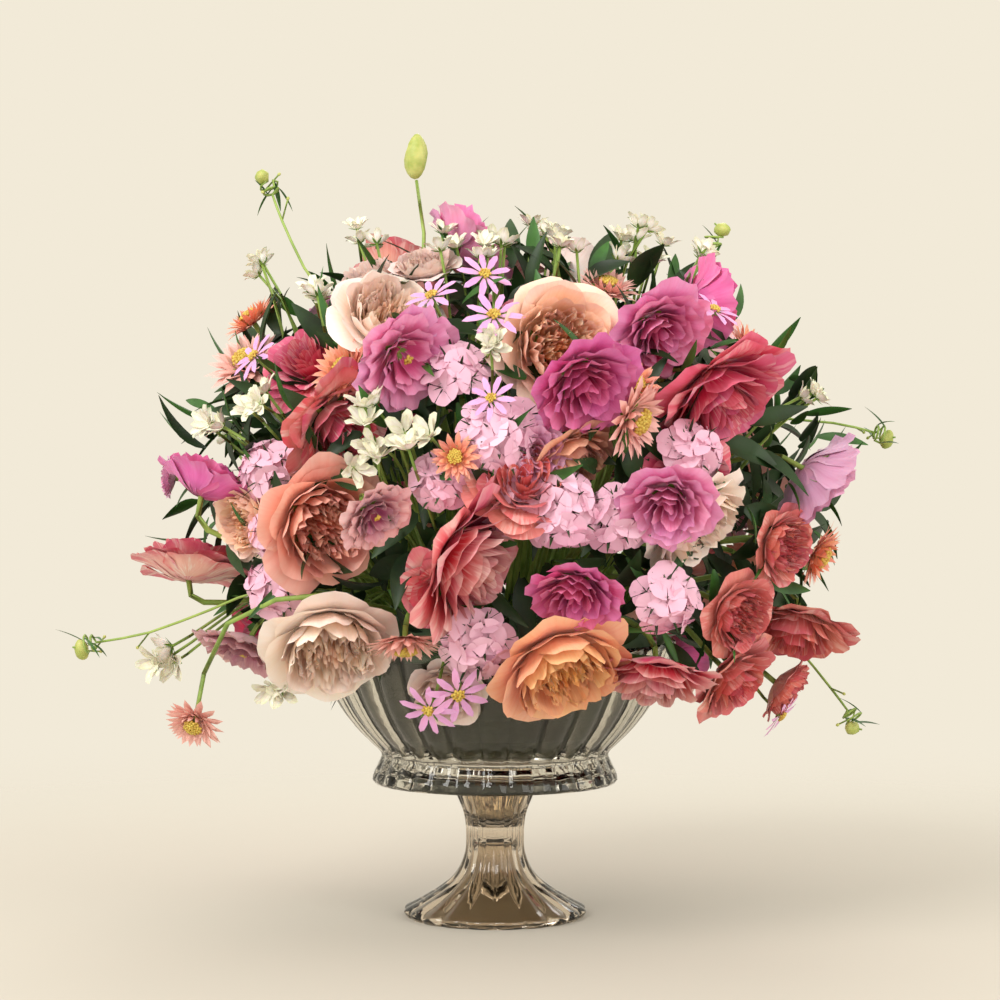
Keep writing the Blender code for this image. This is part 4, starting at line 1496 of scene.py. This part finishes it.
    def build(self) -> None:
        """Build every flower and green in order."""
        self.node_flowers()
        self.extra_flowers()
        self.clusters()
        self.small_blooms()
        self.inner_leaves()
        self.outer_leaves()
        self.sprigs()
        self.greens.finish()


# ---------------------------------------------------------------- the room


@dataclass
class Studio:
    """The pale floor and room, the lamps and the camera."""

    distance: float = 2.13
    eye_height: float = 0.367
    aim_height: float = 0.313
    aside: float = 0.00375
    lens: float = 102.0
    floor_radius: float = 3.0
    fade_from: float = 0.35
    fade_to: float = 1.3

    def camera(self) -> None:
        """The camera at the viewing angle."""
        data = bpy.data.cameras.new("camera")
        data.lens = self.lens
        data.sensor_width = 36.0
        camera = bpy.data.objects.new("camera", data)
        camera.location = (self.aside, -self.distance, self.eye_height)
        aim = Vector((self.aside, 0.0, self.aim_height)) - camera.location
        camera.rotation_euler = aim.to_track_quat("-Z", "Y").to_euler()
        bpy.context.scene.collection.objects.link(camera)
        bpy.context.scene.camera = camera

    def lamp(self, name: str, place: Vector, size: float, power: float) -> None:
        """A soft square lamp that looks at the flowers.

        Args:
            name: The lamp's name.
            place: Where it hangs.
            size: Its side.
            power: Its power in watts.
        """
        data = bpy.data.lights.new(name, "AREA")
        data.size = size
        data.energy = power
        lamp = bpy.data.objects.new(name, data)
        lamp.location = place
        lamp.rotation_euler = (Vector((0.0, 0.0, 0.3)) - place).to_track_quat("-Z", "Y").to_euler()
        bpy.context.scene.collection.objects.link(lamp)

    def world(self) -> None:
        """A pale room that the camera, glass and gloss see in the backdrop's colour."""
        world = bpy.data.worlds.new("room")
        world.use_nodes = True
        bpy.context.scene.world = world
        canvas = NodeCanvas(world.node_tree)
        seen = world.node_tree.nodes["Background"]
        seen.inputs[0].default_value = (*BACKDROP, 1.0)
        light = canvas.add("ShaderNodeBackground", in_Color=(1.0, 0.97, 0.93, 1.0), in_Strength=1.05)
        rays = canvas.add("ShaderNodeLightPath")
        shown = canvas.math("MAXIMUM", rays.outputs["Is Camera Ray"], rays.outputs["Is Transmission Ray"])
        shown = canvas.math("MAXIMUM", shown, rays.outputs["Is Glossy Ray"])
        mixed = canvas.add("ShaderNodeMixShader")
        canvas.link(shown, mixed.inputs[0])
        canvas.link(light.outputs[0], mixed.inputs[1])
        canvas.link(seen.outputs[0], mixed.inputs[2])
        canvas.link(mixed.outputs[0], world.node_tree.nodes["World Output"].inputs[0])

    def floor(self) -> None:
        """A pale floor that fades into the backdrop and keeps the soft shadow."""
        mesh = bmesh.new()
        bmesh.ops.create_circle(mesh, cap_ends=True, segments=96, radius=self.floor_radius)
        data = bpy.data.meshes.new("floor")
        mesh.to_mesh(data)
        mesh.free()
        material = bpy.data.materials.new("pale_floor")
        material.use_nodes = True
        canvas = NodeCanvas(material.node_tree)
        material.node_tree.nodes.remove(material.node_tree.nodes["Principled BSDF"])
        pale = tuple(FLOOR_SHADE * share for share in BACKDROP)
        matte = canvas.add("ShaderNodeBsdfDiffuse", in_Color=(*pale, 1.0))
        clear = canvas.add("ShaderNodeBsdfTransparent")
        place = canvas.add("ShaderNodeTexCoord").outputs["Object"]
        length = canvas.add("ShaderNodeVectorMath", operation="LENGTH")
        canvas.link(place, length.inputs[0])
        fade = canvas.step(length.outputs["Value"], self.fade_from, self.fade_to)
        mixed = canvas.add("ShaderNodeMixShader")
        canvas.link(fade, mixed.inputs[0])
        canvas.link(matte.outputs[0], mixed.inputs[1])
        canvas.link(clear.outputs[0], mixed.inputs[2])
        canvas.link(mixed.outputs[0], material.node_tree.nodes["Material Output"].inputs[0])
        data.materials.append(material)
        floor = bpy.data.objects.new("floor", data)
        bpy.context.scene.collection.objects.link(floor)

    def build(self) -> None:
        """Make the room."""
        bpy.context.scene.view_settings.view_transform = "Standard"
        self.camera()
        self.lamp("key_lamp", Vector((-1.3, -1.6, 1.9)), 1.4, 40.0)
        self.lamp("fill_lamp", Vector((1.8, -1.4, 0.9)), 1.6, 14.0)
        self.lamp("back_lamp", Vector((0.3, 1.8, 1.9)), 1.4, 18.0)
        self.world()
        self.floor()


def main() -> None:
    """Build the arrangement and the room."""
    logging.basicConfig(level=logging.INFO, format="%(message)s")
    Glassware().build()
    Filling().build()
    Arrangement().build()
    Studio().build()


if __name__ == "__main__":
    main()
